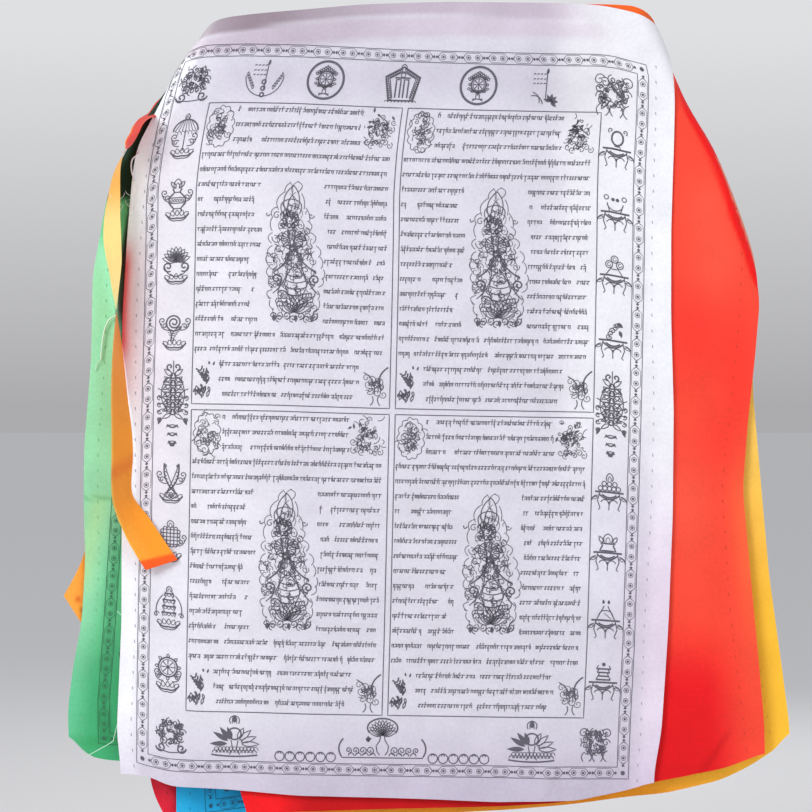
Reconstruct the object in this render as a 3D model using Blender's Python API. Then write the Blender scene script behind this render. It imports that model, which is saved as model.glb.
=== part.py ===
# Prayer flag string, folded to and fro into one hanging bundle: six cotton flags sewn to one heading tape.
# The origin is the middle of the top edge, half way through the stack. +X runs to the right, +Z up, and the
# printed front of the first flag looks along -Y. All sizes are in millimetres until build() turns them to metres.
#
# Each layer is drawn flat first, as (a, b, n): a to the right, b up from the top edge, n backward from the
# first flag's face. fold() then turns the two upper corners behind the bundle, and settle() adds the swelling
# of the right fold and the soft rolls that all the layers share.

import math
from collections import namedtuple

import bmesh
import bpy

MM = 0.001
SHEET = 1.0              # thickness of a flag or of the tape
GAP = 0.3                # air between two layers of the stack
PITCH = SHEET + GAP
CELL = 50.0              # spacing of the lattice that the flags are divided by
HANG_LENGTH = 960.0      # lattice reach below the top edge
HALF_REACH = 450.0       # lattice reach to either side

TAPE_WIDTH = 36.0
TAPE_TOP = -10.0         # upper edge of the tape, from the shared top edge
TAPE_LOW = TAPE_TOP - TAPE_WIDTH
TAPE_MID = TAPE_TOP - TAPE_WIDTH / 2
TAPE_LEFT = -320.0       # where the tape turns back at the left
TAPE_RIGHT = 356.0       # and at the right
TAPE_STRIPS = 3          # strips across the tape's width
TURN_STEPS = 4           # steps in each turn of the tape
CREASE_RADIUS = 1.6      # of the tape's crease where each tail starts
CREASE_AT = -334.0
CREASE_CLEAR = 10.0      # the first and the last pass stop this far short of the turns
SOLVE_ROUNDS = 12
TAIL_STEPS = 4           # steps between two rows of a tail's table

FOLD_RADIUS = 20.0
FOLD_TURN = math.radians(175)
FOLD_STEPS = 6
STEP_LENGTH = FOLD_RADIUS * FOLD_TURN / FOLD_STEPS

SPREAD_FROM = -2 * CELL  # below the tape the flags share the stack's depth evenly
SPREAD_OVER = CELL
FLARE_FROM = -7 * CELL   # and further down they stand apart
FLARE_TO = -900.0
FLARE_DEPTH = 20.0

BULGE = 9.0              # how far the right fold swells beyond a straight line
BULGE_TOP = -75.0
BULGE_LOW = -320.0
BULGE_INNER = 305.0
BULGE_OUTER = 350.0
ROLLS_FROM = -150.0      # the soft rolls grow from nothing here to their full depth
ROLLS_FULL = -360.0

# The stack from front to back; the tape lies behind the odd flags' upper hems and before the even ones'.
STACK = ["flag_white", "pass_1", "pass_2", "flag_red", "flag_green", "pass_3",
         "pass_4", "flag_yellow", "flag_blue", "pass_5", "pass_6", "flag_crimson"]
PASSES = [name for name in STACK if name.startswith("pass")]
FLAGS = [name for name in STACK if name.startswith("flag")]
STACK_DEPTH = (len(STACK) - 1) * PITCH
EVEN_STEP = STACK_DEPTH / (len(FLAGS) - 1)

# A fold line: a point near its upper end, and its outward side.
Fold = namedtuple("Fold", "a b out_a out_b")
LEFT_FOLD = Fold(-221.0, -21.0, -0.801, 0.599)
RIGHT_FOLD = Fold(282.0, -12.6, 0.9223, 0.3865)

# The arched top edge that all the layers share: how far it lies below its highest point.
Drop = namedtuple("Drop", "a drop")
DROPS = [Drop(-230, 21), Drop(-165, 13), Drop(-94, 7), Drop(-51, 3), Drop(50, 0), Drop(240, 2.4),
         Drop(268, 5), Drop(292, 18)]

# Each flag's sides: height, left edge, right edge. A row for each bend of the outline.
Side = namedtuple("Side", "b left right")
SIDES = {
    "flag_white": [
        Side(-20, -235, 303), Side(-68, -257, 304), Side(-125, -282, 304), Side(-164, -302, 303),
        Side(-192, -307, 302), Side(-259, -313, 300), Side(-355, -319, 300), Side(-460, -320, 303),
        Side(-580, -320, 302), Side(-700, -320, 297), Side(-822, -325, 289), Side(-870, -320, 281)],
    "flag_red": [
        Side(-20, -240, 309), Side(-116, -232, 350), Side(-211, -224, 390), Side(-259, -220, 396),
        Side(-326, -215, 402), Side(-402, -209, 396), Side(-480, -206, 388), Side(-550, -203, 383),
        Side(-610, -200, 388), Side(-700, -194, 396), Side(-810, -189, 406), Side(-848, -186, 407)],
    "flag_green": [
        Side(-20, -250, 280), Side(-68, -276, 276), Side(-116, -300, 272), Side(-164, -319, 270),
        Side(-221, -337, 267), Side(-307, -353, 265), Side(-402, -355, 263), Side(-500, -363, 262),
        Side(-560, -364, 260), Side(-630, -362, 258), Side(-700, -364, 256), Side(-800, -380, 253),
        Side(-832, -379, 252)],
    "flag_yellow": [
        Side(-20, -238, 309), Side(-116, -230, 349), Side(-164, -225, 366), Side(-211, -220, 380),
        Side(-307, -210, 393), Side(-440, -198, 395), Side(-550, -190, 405), Side(-650, -182, 414),
        Side(-750, -176, 426), Side(-820, -170, 433)],
    "flag_blue": [
        Side(-20, -245, 300), Side(-68, -268, 303), Side(-116, -290, 306), Side(-164, -304, 308),
        Side(-307, -302, 312), Side(-600, -281, 322), Side(-862, -263, 330)],
    "flag_crimson": [
        Side(-20, -240, 305), Side(-116, -240, 338), Side(-211, -241, 360), Side(-307, -244, 370),
        Side(-600, -264, 362), Side(-870, -283, 340)],
}

# How far a flag's own upper edge lies below the shared one.
LEVEL = [Drop(-HALF_REACH, 0), Drop(HALF_REACH, 0)]
OWN_DROPS = {"flag_white": [Drop(190, 0), Drop(223, 2), Drop(250, 7), Drop(268, 9), Drop(HALF_REACH, 10)]}

# Each flag's lower edge from left to right.
Foot = namedtuple("Foot", "a b")
FEET = {
    "flag_white": [
        Foot(-320, -870), Foot(-285, -873), Foot(-266, -883), Foot(-184, -890), Foot(-119, -895),
        Foot(-25, -898), Foot(87, -902), Foot(192, -900), Foot(250, -890), Foot(281, -882)],
    "flag_red": [
        Foot(-183, -918), Foot(-119, -914), Foot(-25, -911), Foot(107, -908), Foot(175, -903),
        Foot(297, -878), Foot(362, -865), Foot(407, -848)],
    "flag_green": [
        Foot(-379, -832), Foot(-356, -854), Foot(-323, -857), Foot(-150, -868), Foot(100, -876),
        Foot(252, -868)],
    "flag_yellow": [
        Foot(-168, -930), Foot(-25, -922), Foot(119, -914), Foot(211, -905), Foot(294, -893),
        Foot(358, -877), Foot(406, -848), Foot(433, -820)],
    "flag_blue": [
        Foot(-259, -952), Foot(-100, -938), Foot(50, -914), Foot(150, -892), Foot(250, -874),
        Foot(330, -858)],
    "flag_crimson": [
        Foot(-262, -936), Foot(-100, -920), Foot(100, -896), Foot(250, -876), Foot(340, -864)],
}

# The rolls that all the layers share: centre, lean from upright in degrees, half width, half length, depth.
Roll = namedtuple("Roll", "name x z lean width length depth")
ROLLS = [
    Roll("left margin leans back", -320, -470, 2, 60, 330, 5),
    Roll("middle stands forward", 10, -560, 0, 190, 260, -8),
    Roll("right side leans back", 390, -560, -4, 80, 300, 10),
    Roll("right side lifts", 345, -760, -12, 60, 120, -6),
    Roll("foot ripple at the left", -262, -900, 6, 34, 110, -7),
    Roll("foot hollow at the left", -190, -900, -4, 44, 120, 5),
    Roll("foot crease at the right", 165, -880, 38, 40, 110, -5),
    Roll("foot hollow at the right", 250, -880, 12, 44, 130, 6),
]

# The tape's free ends: centre line, depth, and twist about its own run in degrees.
Tail = namedtuple("Tail", "a b n twist")
FRONT_TAIL = [
    Tail(-312, -71, -2.2, 0), Tail(-306, -101, -6, 0), Tail(-302, -132, -13, -12), Tail(-308, -153, -16, -42),
    Tail(-316, -169, -17, -68), Tail(-330, -209, -17, -65), Tail(-332, -239, -17, -62),
    Tail(-329, -291, -17, -64), Tail(-328, -326, -18, -80), Tail(-326, -351, -18, -93),
    Tail(-322, -387, -19, -115), Tail(-322, -450, -18, -128), Tail(-321, -500, -18, -127),
    Tail(-317, -558, -19, -123), Tail(-300, -592, -14, -150), Tail(-285, -617, -11, -165),
    Tail(-273, -636, -9, -170)]
BACK_TAIL = [
    Tail(-312, -78, 17.2, 0), Tail(-305, -126, 17.5, 0), Tail(-302, -193, 18, 0), Tail(-298, -269, 18, 0),
    Tail(-296, -345, 18, 0), Tail(-298, -421, 19, 0), Tail(-312, -500, 19, 4), Tail(-332, -575, 18, 8),
    Tail(-350, -640, 16, 4), Tail(-373, -686, 15, 0)]

COLOURS = {
    "flag_white": (0.80, 0.80, 0.86),
    "flag_red": (0.80, 0.06, 0.04),
    "flag_green": (0.10, 0.52, 0.22),
    "flag_yellow": (0.85, 0.48, 0.05),
    "flag_blue": (0.03, 0.32, 0.62),
    "flag_crimson": (0.62, 0.02, 0.04),
    "heading_tape": (0.86, 0.28, 0.03),
}
COTTON_ROUGHNESS = 0.9


def between(low, high, value):
    """How far value has come from low to high, eased and held to 0..1."""
    share = min(1.0, max(0.0, (value - low) / (high - low)))
    return share * share * (3 - 2 * share)


def along(rows, place, column, value):
    """Read a column of a table at a value of its place column, on straight lines between the rows."""
    rows = sorted(rows, key=lambda row: getattr(row, place))
    value = min(getattr(rows[-1], place), max(getattr(rows[0], place), value))
    for low, high in zip(rows, rows[1:]):
        low_at, high_at = getattr(low, place), getattr(high, place)
        if value <= high_at:
            share = (value - low_at) / (high_at - low_at)
            return getattr(low, column) + share * (getattr(high, column) - getattr(low, column))
    return getattr(rows[-1], column)


def top_edge(a):
    """Height of the top edge that all the layers share."""
    return -along(DROPS, "a", "drop", a)


def stack_depth(name):
    """Depth of a layer's front face where the whole stack is pressed together."""
    return STACK.index(name) * PITCH


def flag_depth(name, b):
    """Depth of a flag's front face at height b."""
    place = FLAGS.index(name)
    flare = FLARE_DEPTH * max(0.0, (b - FLARE_FROM) / (FLARE_TO - FLARE_FROM))
    even = place * (EVEN_STEP + flare / (len(FLAGS) - 1))
    loose = min(1.0, max(0.0, (SPREAD_FROM - b) / SPREAD_OVER))
    return stack_depth(name) * (1 - loose) + even * loose


def beyond(fold_line, a, b):
    """Distance past the start of a fold's bend."""
    return (a - fold_line.a) * fold_line.out_a + (b - fold_line.b) * fold_line.out_b + FOLD_RADIUS


def bend(past, n):
    """How far out and back a point of the bend lies. The bend has flat steps, so that the layers nest."""
    step = min(past / STEP_LENGTH, FOLD_STEPS)
    low = min(math.floor(step), FOLD_STEPS - 1)
    share = step - low
    straight = max(0.0, past - FOLD_STEPS * STEP_LENGTH)
    ends = [FOLD_TURN * (low + side) / FOLD_STEPS for side in (0, 1)]
    mixed = [(1 - share) * wave(ends[0]) + share * wave(ends[1]) for wave in (math.sin, math.cos)]
    out = (FOLD_RADIUS - n) * mixed[0] + straight * math.cos(FOLD_TURN)
    back = FOLD_RADIUS - (FOLD_RADIUS - n) * mixed[1] + straight * math.sin(FOLD_TURN)
    return out, back


def fold(a, b, n):
    """Turn what lies past a fold line round behind the bundle, keeping its depth order."""
    for line in (LEFT_FOLD, RIGHT_FOLD):
        past = beyond(line, a, b)
        if past > 0:
            out, back = bend(past, n)
            return a + (out - past) * line.out_a, back, b + (out - past) * line.out_b
    return a, n, b


def roll_depth(x, z):
    """Depth that the soft rolls add."""
    total = 0.0
    for roll in ROLLS:
        lean = math.radians(roll.lean)
        across = (x - roll.x) * math.cos(lean) + (z - roll.z) * math.sin(lean)
        down = (z - roll.z) * math.cos(lean) - (x - roll.x) * math.sin(lean)
        total += roll.depth * math.exp(-(across / roll.width) ** 2 - (down / roll.length) ** 2)
    return total * between(ROLLS_FROM, ROLLS_FULL, z)


def settle(x, y, z):
    """The shared shape of the hanging bundle: a swollen right fold and soft rolls."""
    swell = 0.0
    if BULGE_LOW < z < BULGE_TOP:
        height = math.sin(math.pi * (z - BULGE_TOP) / (BULGE_LOW - BULGE_TOP))
        swell = BULGE * height * between(BULGE_INNER, BULGE_OUTER, x)
    return x + swell, y + roll_depth(x, z) - STACK_DEPTH / 2, z


def hung(a, b, n):
    """A point of a flat layer, in metres, where it hangs."""
    return [MM * value for value in settle(*fold(a, b, n))]


def lattice(low, high):
    """Lattice lines strictly between two values."""
    first = math.floor(low / CELL) + 1
    lines = [CELL * step for step in range(first, math.ceil(high / CELL))]
    return [line for line in lines if low + 1 < line < high - 1]


def outline(name):
    """A flag's flat outline, clockwise from its upper left corner, with its points on the lattice lines."""
    sides, foot, own = SIDES[name], FEET[name], OWN_DROPS.get(name, LEVEL)
    corners = [sides[0].left, sides[0].right]
    points = [(a, top_edge(a) - along(own, "a", "drop", a)) for a in corners[:1] + lattice(*corners) + corners[1:]]
    left_top, right_top = points[0][1], points[-1][1]
    right = [(along(sides, "b", "right", b), b) for b in lattice(foot[-1].b, right_top)]
    points += reversed(right)
    low = [(a, along(foot, "a", "b", a)) for a in lattice(foot[0].a, foot[-1].a)]
    points += [(foot[-1].a, foot[-1].b)] + low[::-1] + [(foot[0].a, foot[0].b)]
    points += [(along(sides, "b", "left", b), b) for b in lattice(foot[0].b, left_top)]
    return points


def cuts():
    """Lines that divide a flag: the lattice, then the lines along each fold's bend."""
    lines = []
    for a in lattice(-HALF_REACH, HALF_REACH):
        lines.append(((a, 0.0), (1.0, 0.0)))
    for b in lattice(-HANG_LENGTH, 0.0):
        lines.append(((0.0, b), (0.0, 1.0)))
    for line in (LEFT_FOLD, RIGHT_FOLD):
        for step in range(FOLD_STEPS + 1):
            shift = step * STEP_LENGTH - FOLD_RADIUS
            at = (line.a + shift * line.out_a, line.b + shift * line.out_b)
            lines.append((at, (line.out_a, line.out_b)))
    return lines


def flat_cells(name):
    """The flag's flat points and its convex cells, each cell listed from its lowest corner."""
    bm = bmesh.new()
    bm.faces.new([bm.verts.new((a, b, 0.0)) for a, b in outline(name)])
    for (at_a, at_b), (out_a, out_b) in cuts():
        bmesh.ops.bisect_plane(bm, geom=bm.verts[:] + bm.edges[:] + bm.faces[:], dist=0.02,
                               plane_co=(at_a, at_b, 0.0), plane_no=(out_a, out_b, 0.0))
    bm.verts.index_update()
    points = [(vert.co.x, vert.co.y) for vert in bm.verts]
    cells = []
    for face in bm.faces:
        ring = [vert.index for vert in face.verts]
        start = ring.index(min(ring, key=lambda index: (points[index][1], points[index][0])))
        cells.append(ring[start:] + ring[:start])
    bm.free()
    return points, cells


def fan(ring):
    """Triangles of a convex ring, all from its first corner."""
    return [(ring[0], ring[step], ring[step + 1]) for step in range(1, len(ring) - 1)]


def paint(name, mesh):
    """Give a piece its own dyed cotton."""
    material = bpy.data.materials.new(name + "_cotton")
    material.use_nodes = True
    shader = material.node_tree.nodes["Principled BSDF"]
    shader.inputs["Base Color"].default_value = (*COLOURS[name], 1.0)
    shader.inputs["Roughness"].default_value = COTTON_ROUGHNESS
    shader.inputs["Metallic"].default_value = 0.0
    material.diffuse_color = (*COLOURS[name], 1.0)
    mesh.materials.append(material)


def build(name, points, triangles):
    """Make a closed solid from its points and triangles, with the faces looking outward."""
    mesh = bpy.data.meshes.new(name)
    bm = bmesh.new()
    verts = [bm.verts.new(point) for point in points]
    for corners in triangles:
        bm.faces.new([verts[index] for index in corners])
    bmesh.ops.recalc_face_normals(bm, faces=bm.faces[:])
    if bm.calc_volume(signed=True) < 0:
        bmesh.ops.reverse_faces(bm, faces=bm.faces[:])
    bm.to_mesh(mesh)
    bm.free()
    mesh.shade_smooth()
    mesh.set_sharp_from_angle(angle=math.radians(40))
    paint(name, mesh)
    bpy.context.scene.collection.objects.link(bpy.data.objects.new(name, mesh))


def make_flag(name):
    """A flag: its front and back faces on the same cells, joined round the rim."""
    flat, cells = flat_cells(name)
    count = len(flat)
    points = [hung(a, b, flag_depth(name, b)) for a, b in flat]
    points += [hung(a, b, flag_depth(name, b) + SHEET) for a, b in flat]
    triangles = []
    used = {}
    for ring in cells:
        for first, second, third in fan(ring):
            triangles.append((first, second, third))
            triangles.append((first + count, third + count, second + count))
        for here, there in zip(ring, ring[1:] + ring[:1]):
            used[(here, there)] = True
    for here, there in used:
        if (there, here) not in used:
            triangles.append((here, there + count, there))
            triangles.append((here, here + count, there + count))
    build(name, points, triangles)


# A station of the tape is one slice across it: points from the upper to the lower edge on side one, then the
# same on side two. Side one faces the viewer on the odd passes and away on the even ones.

def slice_across(upper, lower, offset):
    """Points across the tape from its upper to its lower edge."""
    points = []
    for strip in range(TAPE_STRIPS + 1):
        share = strip / TAPE_STRIPS
        points.append([high + share * (low - high) + shift
                       for high, low, shift in zip(upper, lower, offset)])
    return points


def station(upper, lower, side_one, side_two):
    """One slice of the tape, hung in place."""
    return [hung(*point) for point in slice_across(upper, lower, side_one) + slice_across(upper, lower, side_two)]


def level_ends(a):
    """The tape's upper and lower edge where it runs along the top edge."""
    return (a, top_edge(a) + TAPE_TOP, 0.0), (a, top_edge(a) + TAPE_LOW, 0.0)


def bend_ends(line, past):
    """The tape's upper and lower edge where it meets a line of a fold's bend."""
    ends = []
    for low in (TAPE_TOP, TAPE_LOW):
        a = line.a
        for _ in range(SOLVE_ROUNDS):
            level = low + top_edge(a) - line.b
            a = line.a + (past - FOLD_RADIUS - level * line.out_b) / line.out_a
        ends.append((a, low + top_edge(a), 0.0))
    return tuple(ends)


def pass_stations(number):
    """Slices of one pass of the tape through the stack, from left to right."""
    front = stack_depth(PASSES[number])
    one, two = (front, front + SHEET) if number % 2 == 0 else (front + SHEET, front)
    start = TAPE_LEFT + (CREASE_CLEAR if number in (0, len(PASSES) - 1) else 0.0)
    ends = [level_ends(start)]
    ends += [bend_ends(LEFT_FOLD, step * STEP_LENGTH) for step in range(FOLD_STEPS, -1, -1)]
    ends += [level_ends(a) for a in (-150.0, -50.0, 50.0, 150.0)]
    ends += [bend_ends(RIGHT_FOLD, step * STEP_LENGTH) for step in range(FOLD_STEPS + 1)]
    ends.append(level_ends(TAPE_RIGHT))
    return [station(upper, lower, (0.0, 0.0, one), (0.0, 0.0, two)) for upper, lower in ends]


def turn_stations(number, at, way):
    """Slices of the turn that joins a pass to the next one; way is 1 at the right and -1 at the left."""
    middle = [stack_depth(PASSES[number + step]) + SHEET / 2 for step in (0, 1)]
    radius = (middle[1] - middle[0]) / 2
    outer, inner = radius + SHEET / 2, radius - SHEET / 2
    one, two = (outer, inner) if number % 2 == 0 else (inner, outer)
    slices = []
    for step in range(1, TURN_STEPS):
        angle = math.pi * step / TURN_STEPS
        offsets = [(way * size * math.sin(angle), 0.0, middle[0] + radius - size * math.cos(angle))
                   for size in (one, two)]
        slices.append(station(*level_ends(at), *offsets))
    return slices


def smooth_rows(rows):
    """Points on a smooth curve through a tail's rows, with the run's direction at each."""
    values = [tuple(map(float, row)) for row in rows]
    values = [values[0]] + values + [values[-1]]
    curve = []
    for index in range(1, len(values) - 2):
        before, start, end, after = values[index - 1:index + 3]
        last = index == len(values) - 3
        for step in range(TAIL_STEPS + (1 if last else 0)):
            t = step / TAIL_STEPS
            curve.append([0.5 * (2 * q + (r - p) * t + (2 * p - 5 * q + 4 * r - s) * t * t
                                 + (3 * q - p - 3 * r + s) * t ** 3)
                          for p, q, r, s in zip(before, start, end, after)])
    return curve


def tail_stations(rows, number):
    """Slices of a free end, from its crease at the end of a pass to its cut end."""
    front = stack_depth(PASSES[number])
    forward = number == 0
    away = -1 if forward else 1
    level = top_edge(CREASE_AT)
    run = (rows[0].a - CREASE_AT, rows[0].b - TAPE_MID - level)
    length = math.hypot(*run)
    run = (run[0] / length, run[1] / length)
    crease = (run[0] - 1, run[1])
    out = (-1 - run[0], -run[1])
    size = math.hypot(*out)
    out = (out[0] / size, out[1] / size)
    upper = (CREASE_AT + crease[0] * (TAPE_TOP - TAPE_MID) / crease[1], level + TAPE_TOP, 0.0)
    lower = (CREASE_AT + crease[0] * (TAPE_LOW - TAPE_MID) / crease[1], level + TAPE_LOW, 0.0)
    middle = front + SHEET / 2
    axis = middle + away * CREASE_RADIUS
    slices = []
    for step in range(TURN_STEPS + 1):
        angle = math.pi * step / TURN_STEPS
        offsets = []
        for radius in (CREASE_RADIUS - SHEET / 2, CREASE_RADIUS + SHEET / 2):
            reach = radius * math.sin(angle)
            offsets.append((out[0] * reach, out[1] * reach, axis - away * radius * math.cos(angle)))
        slices.append(station(upper, lower, *offsets))
    curve = smooth_rows(rows)
    for index, (a, b, n, twist) in enumerate(curve):
        before, after = curve[max(index - 1, 0)], curve[min(index + 1, len(curve) - 1)]
        run = (after[0] - before[0], after[1] - before[1])
        length = math.hypot(*run)
        across = (-run[1] / length, run[0] / length)
        turn = math.radians(twist)
        half = TAPE_WIDTH / 2
        reach = (across[0] * math.cos(turn) * half, across[1] * math.cos(turn) * half, math.sin(turn) * half)
        face = (-across[0] * math.sin(turn), -across[1] * math.sin(turn), math.cos(turn))
        upper = (a + reach[0], b + reach[1], n + reach[2])
        lower = (a - reach[0], b - reach[1], n - reach[2])
        offsets = [[-away * side * SHEET / 2 * value for value in face] for side in (1, -1)]
        slices.append(station(upper, lower, *offsets))
    return slices


def make_tape():
    """The heading tape: front tail, six passes joined by turns, back tail, in one strip."""
    slices = list(reversed(tail_stations(FRONT_TAIL, 0)))
    for number in range(len(PASSES)):
        own = pass_stations(number)
        if number % 2:
            own.reverse()
        slices += own
        if number < len(PASSES) - 1:
            at, way = (TAPE_RIGHT, 1) if number % 2 == 0 else (TAPE_LEFT, -1)
            slices += turn_stations(number, at, way)
    slices += tail_stations(BACK_TAIL, len(PASSES) - 1)
    width = TAPE_STRIPS + 1
    ring = list(range(width)) + list(range(2 * width - 1, width - 1, -1))
    points = [point for one_slice in slices for point in one_slice]
    triangles = []
    for index in range(len(slices) - 1):
        here, there = index * 2 * width, (index + 1) * 2 * width
        for first, second in zip(ring, ring[1:] + ring[:1]):
            triangles.append((here + first, here + second, there + second))
            triangles.append((here + first, there + second, there + first))
    last = (len(slices) - 1) * 2 * width
    for start, flip in ((0, False), (last, True)):
        for strip in range(TAPE_STRIPS):
            corners = [start + strip, start + strip + 1, start + width + strip + 1, start + width + strip]
            corners = corners[::-1] if flip else corners
            triangles += fan(corners)
    build("heading_tape", points, triangles)


for old in list(bpy.data.objects):
    bpy.data.objects.remove(old, do_unlink=True)
for flag in FLAGS:
    make_flag(flag)
make_tape()
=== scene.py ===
# Prayer flag string hanging as a folded bundle: the cotton flags, the heading tape, the print and the studio.
# Lengths are in millimetres until hang() turns them into metres. Flat cloth is (a, b, n): a to the right,
# b up from the top edge, n backward from the first flag's face.

import math

import bpy
import numpy as np
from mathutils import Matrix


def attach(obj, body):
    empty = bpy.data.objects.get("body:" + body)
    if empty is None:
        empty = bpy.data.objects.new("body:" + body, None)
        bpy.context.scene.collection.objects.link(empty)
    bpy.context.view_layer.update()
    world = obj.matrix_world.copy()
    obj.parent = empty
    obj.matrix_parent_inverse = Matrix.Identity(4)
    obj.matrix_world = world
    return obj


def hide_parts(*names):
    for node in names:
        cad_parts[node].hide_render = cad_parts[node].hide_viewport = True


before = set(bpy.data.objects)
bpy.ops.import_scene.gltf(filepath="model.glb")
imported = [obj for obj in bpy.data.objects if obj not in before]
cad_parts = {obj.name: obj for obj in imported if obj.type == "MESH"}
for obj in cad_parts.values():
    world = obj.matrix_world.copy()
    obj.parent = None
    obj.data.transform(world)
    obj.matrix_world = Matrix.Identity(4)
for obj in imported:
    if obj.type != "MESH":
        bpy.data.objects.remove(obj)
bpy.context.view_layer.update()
mm = 0.001
body = "root"
print("frame loaded")


# the folded bundle

bundle = {
    "order": ["flag_white", "pass_1", "pass_2", "flag_red", "flag_green", "pass_3",
              "pass_4", "flag_yellow", "flag_blue", "pass_5", "pass_6", "flag_crimson"],
    "pitch": 1.3, "sheet": 1.0,
    "spreadFrom": -100.0, "spreadOver": 50.0,                   # below the tape the flags stand evenly apart
    "flareFrom": -350.0, "flareTo": -900.0, "flareDepth": 20.0,
    "foldRadius": 20.0, "foldTurn": math.radians(175),
    "leftFold": (-221.0, -21.0, -0.801, 0.599),                 # point on the fold line, outward side
    "rightFold": (282.0, -12.6, 0.9223, 0.3865),
    "swell": 9.0, "swellTop": -75.0, "swellLow": -320.0, "swellInner": 305.0, "swellOuter": 350.0,
    "rollsFrom": -150.0, "rollsFull": -360.0,
    "softTop": 14.0, "softSide": 12.0, "softFoot": 10.0,        # how far the edges' corners are rounded off
}
flags = [name for name in bundle["order"] if name.startswith("flag")]
passes = [name for name in bundle["order"] if name.startswith("pass")]
dyeOf = {name: name.split("_")[1] for name in flags}
stackDeep = (len(bundle["order"]) - 1) * bundle["pitch"]

# a, drop of the shared top edge
drops = [(-230, 21), (-165, 13), (-94, 7), (-51, 3), (50, 0), (240, 2.4), (268, 5), (292, 18)]
whiteDrops = [(190, 0), (223, 2), (250, 7), (268, 9), (450, 10)]

# height, left edge, right edge
sides = {
    "flag_white": [(-20, -235, 303), (-68, -257, 304), (-125, -282, 304), (-164, -302, 303),
        (-192, -307, 302), (-259, -313, 300), (-355, -319, 300), (-460, -320, 303), (-580, -320, 302),
        (-700, -320, 297), (-822, -325, 289), (-870, -320, 281)],
    "flag_red": [(-20, -240, 309), (-116, -232, 350), (-211, -224, 390), (-259, -220, 396), (-326, -215, 402),
        (-402, -209, 396), (-480, -206, 388), (-550, -203, 383), (-610, -200, 388), (-700, -194, 396),
        (-810, -189, 406), (-848, -187, 407), (-885, -189, 407), (-918, -178, 407)],
    "flag_green": [(-20, -250, 280), (-68, -276, 276), (-116, -300, 272), (-164, -319, 270),
        (-221, -337, 267), (-307, -353, 265), (-402, -355, 263), (-500, -363, 262), (-560, -364, 260),
        (-630, -362, 258), (-700, -366, 256), (-752, -376, 254), (-802, -382, 253), (-826, -381, 252)],
    "flag_yellow": [(-20, -238, 309), (-116, -230, 349), (-164, -225, 366), (-211, -220, 380),
        (-307, -210, 393), (-440, -198, 395), (-550, -190, 405), (-650, -182, 414), (-750, -176, 428),
        (-820, -170, 437)],
    "flag_blue": [(-20, -245, 300), (-68, -268, 303), (-116, -290, 306), (-164, -304, 308), (-307, -302, 312),
        (-600, -279, 322), (-862, -260, 330)],
    "flag_crimson": [(-20, -240, 305), (-116, -240, 338), (-211, -241, 360), (-307, -244, 370),
        (-600, -264, 362), (-870, -292, 340), (-895, -288, 340), (-914, -279, 340), (-936, -267, 340)],
}

# a, height of the lower edge
feet = {
    "flag_white": [(-320, -870), (-285, -873), (-266, -883), (-184, -890), (-119, -895), (-25, -897),
        (40, -899), (100, -902), (192, -900), (250, -890), (281, -880)],
    "flag_red": [(-183, -918), (-119, -914), (-25, -911), (107, -908), (175, -903), (297, -878), (362, -865),
        (407, -848)],
    "flag_green": [(-381, -826), (-375, -835), (-361, -851), (-345, -856), (-323, -858), (-150, -868),
        (100, -876), (252, -868)],
    "flag_yellow": [(-168, -930), (-25, -922), (119, -914), (211, -905), (294, -896), (358, -881),
        (388, -867), (412, -852), (428, -840), (437, -822)],
    "flag_blue": [(-259, -952), (-100, -938), (50, -914), (150, -892), (250, -874), (330, -858)],
    "flag_crimson": [(-262, -936), (-100, -920), (100, -896), (250, -876), (340, -864)],
}

# soft rolls that all the layers share: x, z, lean in degrees, half width, half length, depth
rolls = [
    (-320, -470, 2, 60, 330, 5), (10, -560, 0, 190, 260, -8), (390, -560, -4, 80, 300, 10),
    (345, -760, -12, 60, 120, -6), (-262, -900, 6, 34, 110, -7), (-190, -900, -4, 44, 120, 5),
    (165, -880, 38, 40, 110, -5), (250, -880, 12, 44, 130, 6),
]


def along(rows, column, value, soften=0.0):
    table = np.array(sorted(rows), dtype=float)
    shifts = (-1.0, -0.5, 0.0, 0.5, 1.0) if soften else (0.0,)
    return sum(np.interp(value + soften * shift, table[:, 0], table[:, column])
        for shift in shifts) / len(shifts)


def sideAt(name, column, b):
    # a flag's left (1) or right (2) edge
    return along(sides[name], column, b, bundle["softSide"])


def footAt(name, a):
    return along(feet[name], 1, a, bundle["softFoot"])


def unit(run):
    return run / np.maximum(np.linalg.norm(run, axis=-1, keepdims=True), 1e-9)


def eased(low, high, value):
    share = np.clip((value - low) / (high - low), 0.0, 1.0)
    return share * share * (3 - 2 * share)


def topEdge(a, name=None):
    edge = -along(drops, 1, a, bundle["softTop"])
    return edge - along(whiteDrops, 1, a, bundle["softTop"]) if name == "flag_white" else edge


def stackDepth(name):
    return bundle["order"].index(name) * bundle["pitch"]


def flagDepth(name, b):
    share = (b - bundle["flareFrom"]) / (bundle["flareTo"] - bundle["flareFrom"])
    flare = bundle["flareDepth"] * np.maximum(0.0, share)
    even = flags.index(name) * (stackDeep + flare) / (len(flags) - 1)
    loose = np.clip((bundle["spreadFrom"] - b) / bundle["spreadOver"], 0.0, 1.0)
    return stackDepth(name) * (1 - loose) + even * loose


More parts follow.
